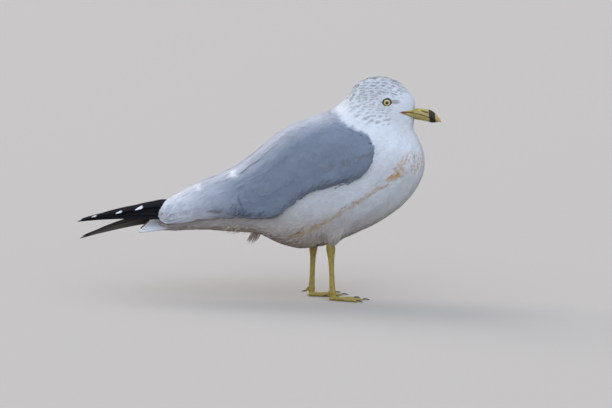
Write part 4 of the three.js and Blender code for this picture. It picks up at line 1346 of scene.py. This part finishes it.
def lip(half, side):
    """One soft lip on a cheek: a ridge along the mouth from its corner to the bill."""
    line = through(MOUTH[half], 40) * MM
    angle = np.linspace(0, 2 * math.pi, 14, endpoint=False)
    rings = []
    y = 0.0
    for x, z, tall in line:
        seen_from = Vector(turned([x, side * 60 * MM, z]))
        inward = Vector(turned([x, 0, z])) - seen_from
        hit = form.ray_cast(seen_from, inward.normalized())[0]
        y = y if hit is None else abs(turned(np.array(hit), -1)[1]) - 0.5 * MM
        deep = LIP_DEPTH * min(1, tall / (0.8 * MM))
        across = side * (y + deep * np.cos(angle))
        rings.append(np.stack([x + 0 * angle, across, z + tall * np.sin(angle)], -1))
    return closed_tube(np.array(rings))


for half, table, flat in (("upper", UPPER_BILL, -1), ("lower", LOWER_BILL, 1)):
    lips = [lip(half, side) for side in SIDES.values()]
    bill_piece(half, [closed_tube(bill_half(table, flat)), *lips])

# ---- Legs ----
# Bare yellow shanks with rows of horny scutes in front, three front toes joined by webs and a small hind toe,
# all one skin, and black horny claws set in the toes' ends.
SCUTE = 2.1 * MM
SCUTE_DEPTH = 0.16 * MM
CLAW_ROOT = 3 * MM  # how far a claw runs on into its toe
CLAW_RISE = 1.1 * MM
CLAW_HALF, CLAW_POINT = 0.9 * MM, 0.08 * MM  # half its thickness at the root, and at the point
HEEL_Z, FOOT_JOINT_Z = 64 * MM, 9 * MM
LEG_YELLOW = np.array([0.46, 0.34, 0.05])
LEG_SHADE = np.array([0.16, 0.13, 0.045])
WEB_YELLOW = np.array([0.30, 0.24, 0.08])
TOE_ANGLES = {"inner": -26, "middle": 2, "outer": 30, "hind": 172}

leg_finish, start, feed = finish("leg_finish", Roughness=0.48, Coat_Weight=0.1)
pebbles = start.node("TexVoronoi", {"feature": "DISTANCE_TO_EDGE"}, {"Scale": 620.0})
grain = start.node("TexNoise", inputs={"Scale": 160.0, "Detail": 4.0})
relief = pebbles.smooth(0.0, 0.12) + grain
feed(
    Base_Color=start.node("VertexColor", {"layer_name": "tint"}).times(0.82 + 0.36 * grain),
    Normal=start.node("Bump", inputs={"Height": relief, "Strength": 0.3, "Distance": 0.25 * MM}),
)
claw_finish, start, feed = finish("claw_finish", Roughness=0.3, Coat_Weight=0.3)
grain = start.node("TexNoise", inputs={"Scale": 500.0, "Detail": 3.0})
feed(
    Base_Color=grain.smooth(0.3, 0.7).mixed((0.012, 0.011, 0.01, 1), (0.05, 0.042, 0.034, 1)),
    Normal=start.node("Bump", inputs={"Height": grain, "Strength": 0.2, "Distance": 0.1 * MM}),
)


def claw(name, ankle):
    """A curved pointed claw, rooted in its toe and nearly as long as its CAD node."""
    low, high = (np.array(corner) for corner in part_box(name))
    middle = (low + high) / 2
    way = unit(np.append(middle[:2] - ankle, 0))
    reach = np.abs(way[:2]) @ (high - low)[:2] / 2 + 0.3 * MM
    up = np.array([0, 0, 1.0])
    sideways = np.cross(way, up)
    share = np.linspace(0, 1, 24)[:, None]
    along = -reach - CLAW_ROOT + share * (1.75 * reach + CLAW_ROOT)
    height = middle[2] - low[2] + CLAW_RISE * (1 - share**2.4) - 0.5 * MM
    line = middle * [1, 1, 0] + up * low[2] + way * along + up * height
    thick = CLAW_HALF * np.sqrt(1 - share**1.8) * (0.6 + 0.4 * smoothstep(0, 0.35, share)) + CLAW_POINT
    angle = np.linspace(0, 2 * math.pi, 14, endpoint=False)
    circle = np.cos(angle)[:, None] * sideways * 0.72 + np.sin(angle)[:, None] * up
    rings = line[:, None] + circle * thick[:, None]
    rings[..., 2] = np.maximum(rings[..., 2], 0.1 * MM)
    return closed_tube(rings)


def leg(side_name):
    """The bare leg of one side and its claws."""
    nodes = [f"shank_{side_name}", f"foot_{side_name}"]
    points, triangles, normals = fused(nodes, voxel=0.5 * MM, rounds=9, swell=0.45 * MM)
    side = SIDES[side_name]
    shank_low, shank_high = (np.array(corner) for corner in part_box(nodes[0]))
    ankle = np.array([shank_low[0] + 4 * MM, (shank_low[1] + shank_high[1]) / 2])
    off = points[:, :2] - ankle
    reach = np.linalg.norm(off, axis=1)
    bearing = np.degrees(np.arctan2(off[:, 1] * side, off[:, 0]))
    from_toe = np.min([np.abs((bearing - angle + 180) % 360 - 180) for angle in TOE_ANGLES.values()], axis=0)
    across = reach * np.sin(np.radians(np.minimum(from_toe, 90)))
    on_foot = smoothstep(15 * MM, 11 * MM, points[:, 2])
    on_toe = on_foot * smoothstep(2.6 * MM, 1.6 * MM, across) * smoothstep(0.1, 0.5, normals[:, 2])
    in_front = (1 - on_foot) * smoothstep(-0.1, 0.35, normals[:, 0])
    groove_toe = np.abs(np.sin(math.pi * reach / SCUTE)) ** 0.6
    groove_shank = np.abs(np.sin(math.pi * (points[:, 2] + 0.12 * points[:, 1]) / (SCUTE * 1.15))) ** 0.6
    relief = on_toe * (groove_toe - 1) + in_front * (groove_shank - 1)
    points = points + normals * (relief * SCUTE_DEPTH)[:, None]
    points[:, 2] = np.maximum(points[:, 2], 0)
    on_web = on_foot * smoothstep(1.6 * MM, 3.4 * MM, across) * smoothstep(8 * MM, 13 * MM, reach)
    heel = np.exp(-(((points[:, 2] - HEEL_Z) / (8 * MM)) ** 2))
    foot_joint = np.exp(-(((points[:, 2] - FOOT_JOINT_Z) / (4 * MM)) ** 2))
    joint = heel + 0.7 * foot_joint
    tint = np.tile(LEG_YELLOW, (len(points), 1))
    # painted shade in the grooves between the scutes, with darker heel and foot joints and darker patches at
    # random
    shade = np.clip(0.75 * -relief + 0.3 * joint + 0.25 * (waves(points, 7 * MM, 31) > 0.4), 0, 1)
    for other, share in ((WEB_YELLOW, 0.8 * on_web), (LEG_SHADE, shade)):
        tint += (other - tint) * share[:, None]
    add_mesh(f"leg_{side_name}", points, triangles, leg_finish, "leg_skin", tint=tint, replaces=nodes)
    toes = [f"claw_{side_name}_{toe}" for toe in TOE_ANGLES]
    points, triangles = merged([claw(toe, ankle) for toe in toes])
    add_mesh(f"claws_{side_name}", points, triangles, claw_finish, "claw_horn", replaces=toes)


for side_name in SIDES:
    leg(side_name)

# ---- Floor, light and camera ----
# A plain pale floor out to an equally pale sky, soft light from all round, a warm broad light from behind
# on the bird's tail side, and a cool one from the viewer's side. Floor and sky look paler than the light
# that they throw on the bird, as it would stand over darker ground.
FLOOR_REACH = 40.0
CAMERA_DISTANCE = 4.0
CAMERA_LIFT = math.radians(6.8)
VIEW_WIDTH = 734.4 * MM  # what the camera takes in from side to side, where the bird stands
AHEAD_OF_MIDDLE = 56.4 * MM
VIEW_HEIGHT = 113.6 * MM


def in_sight(start):
    """1 for what the camera sees, straight or by mirrored or bent rays, and 0 for light on its way."""
    camera_rays, mirrored_rays, bent_rays = (start.node("LightPath", out=rank) for rank in (0, 3, 6))
    return start.node("Clamp", inputs={0: camera_rays + mirrored_rays + bent_rays})


floor_mesh = bpy.data.meshes.new("floor")
ground = bmesh.new()
bmesh.ops.create_grid(ground, x_segments=8, y_segments=8, size=FLOOR_REACH)
ground.to_mesh(floor_mesh)
ground.free()
floor = bpy.data.objects.new("floor", floor_mesh)
bpy.context.scene.collection.objects.link(floor)
floor_finish, start, feed = finish("floor_finish", Roughness=0.9)
mottle = start.node("TexNoise", inputs={"Scale": 1.2, "Detail": 2.0, "Roughness": 0.4}).smooth(0.3, 0.7)
pale = mottle.mixed((0.485, 0.457, 0.433, 1), (0.53, 0.50, 0.475, 1))
feed(Base_Color=in_sight(start).mixed((0.21, 0.17, 0.13, 1), pale))
floor_mesh.materials.append(floor_finish)

world = bpy.data.worlds.new("soft_light")
world.use_nodes = True
bpy.context.scene.world = world
start = Shade(world.node_tree)
sky = start.node("Background", inputs={"Color": (0.93, 0.98, 1.07, 1), "Strength": 0.32})
backdrop = start.node("Background", inputs={"Color": (0.545, 0.53, 0.53, 1), "Strength": 1.0})
whole_sky = start.node("MixShader", inputs={0: in_sight(start), 1: sky, 2: backdrop})
world.node_tree.links.new(whole_sky.socket, world.node_tree.nodes["World Output"].inputs["Surface"])


def sun(name, strength, colour, breadth, toward):
    """A soft far light from a direction. Its breadth is in degrees."""
    lamp = bpy.data.lights.new(name, "SUN")
    lamp.energy = strength
    lamp.color = colour
    lamp.angle = math.radians(breadth)
    piece = bpy.data.objects.new(name, lamp)
    piece.rotation_euler = Vector(toward).to_track_quat("Z", "Y").to_euler()
    bpy.context.scene.collection.objects.link(piece)


sun("sky_light", strength=1.3, colour=(0.92, 0.97, 1.04), breadth=110, toward=(-0.1, -0.15, 1.0))
sun("back_light", strength=1.3, colour=(1.0, 0.92, 0.82), breadth=40, toward=(-0.6, 0.6, 0.6))
sun("viewer_light", strength=1.28, colour=(0.76, 0.91, 1.14), breadth=80, toward=(0.4, -1.0, 0.5))

camera_data = bpy.data.cameras.new("camera")
camera_data.sensor_width = 36
camera_data.lens = camera_data.sensor_width * CAMERA_DISTANCE / VIEW_WIDTH
camera_data.clip_end = 4 * FLOOR_REACH
camera = bpy.data.objects.new("camera", camera_data)
bpy.context.scene.collection.objects.link(camera)
middle = (cad_box[0] + cad_box[1]) / 2
looks_at = Vector((middle.x + AHEAD_OF_MIDDLE, middle.y, cad_box[0].z + VIEW_HEIGHT))
away = Vector((0, -math.cos(CAMERA_LIFT), math.sin(CAMERA_LIFT)))
camera.location = looks_at + away * CAMERA_DISTANCE
camera.rotation_euler = away.to_track_quat("Z", "Y").to_euler()
bpy.context.scene.camera = camera
bpy.context.scene.view_settings.view_transform = "Standard"
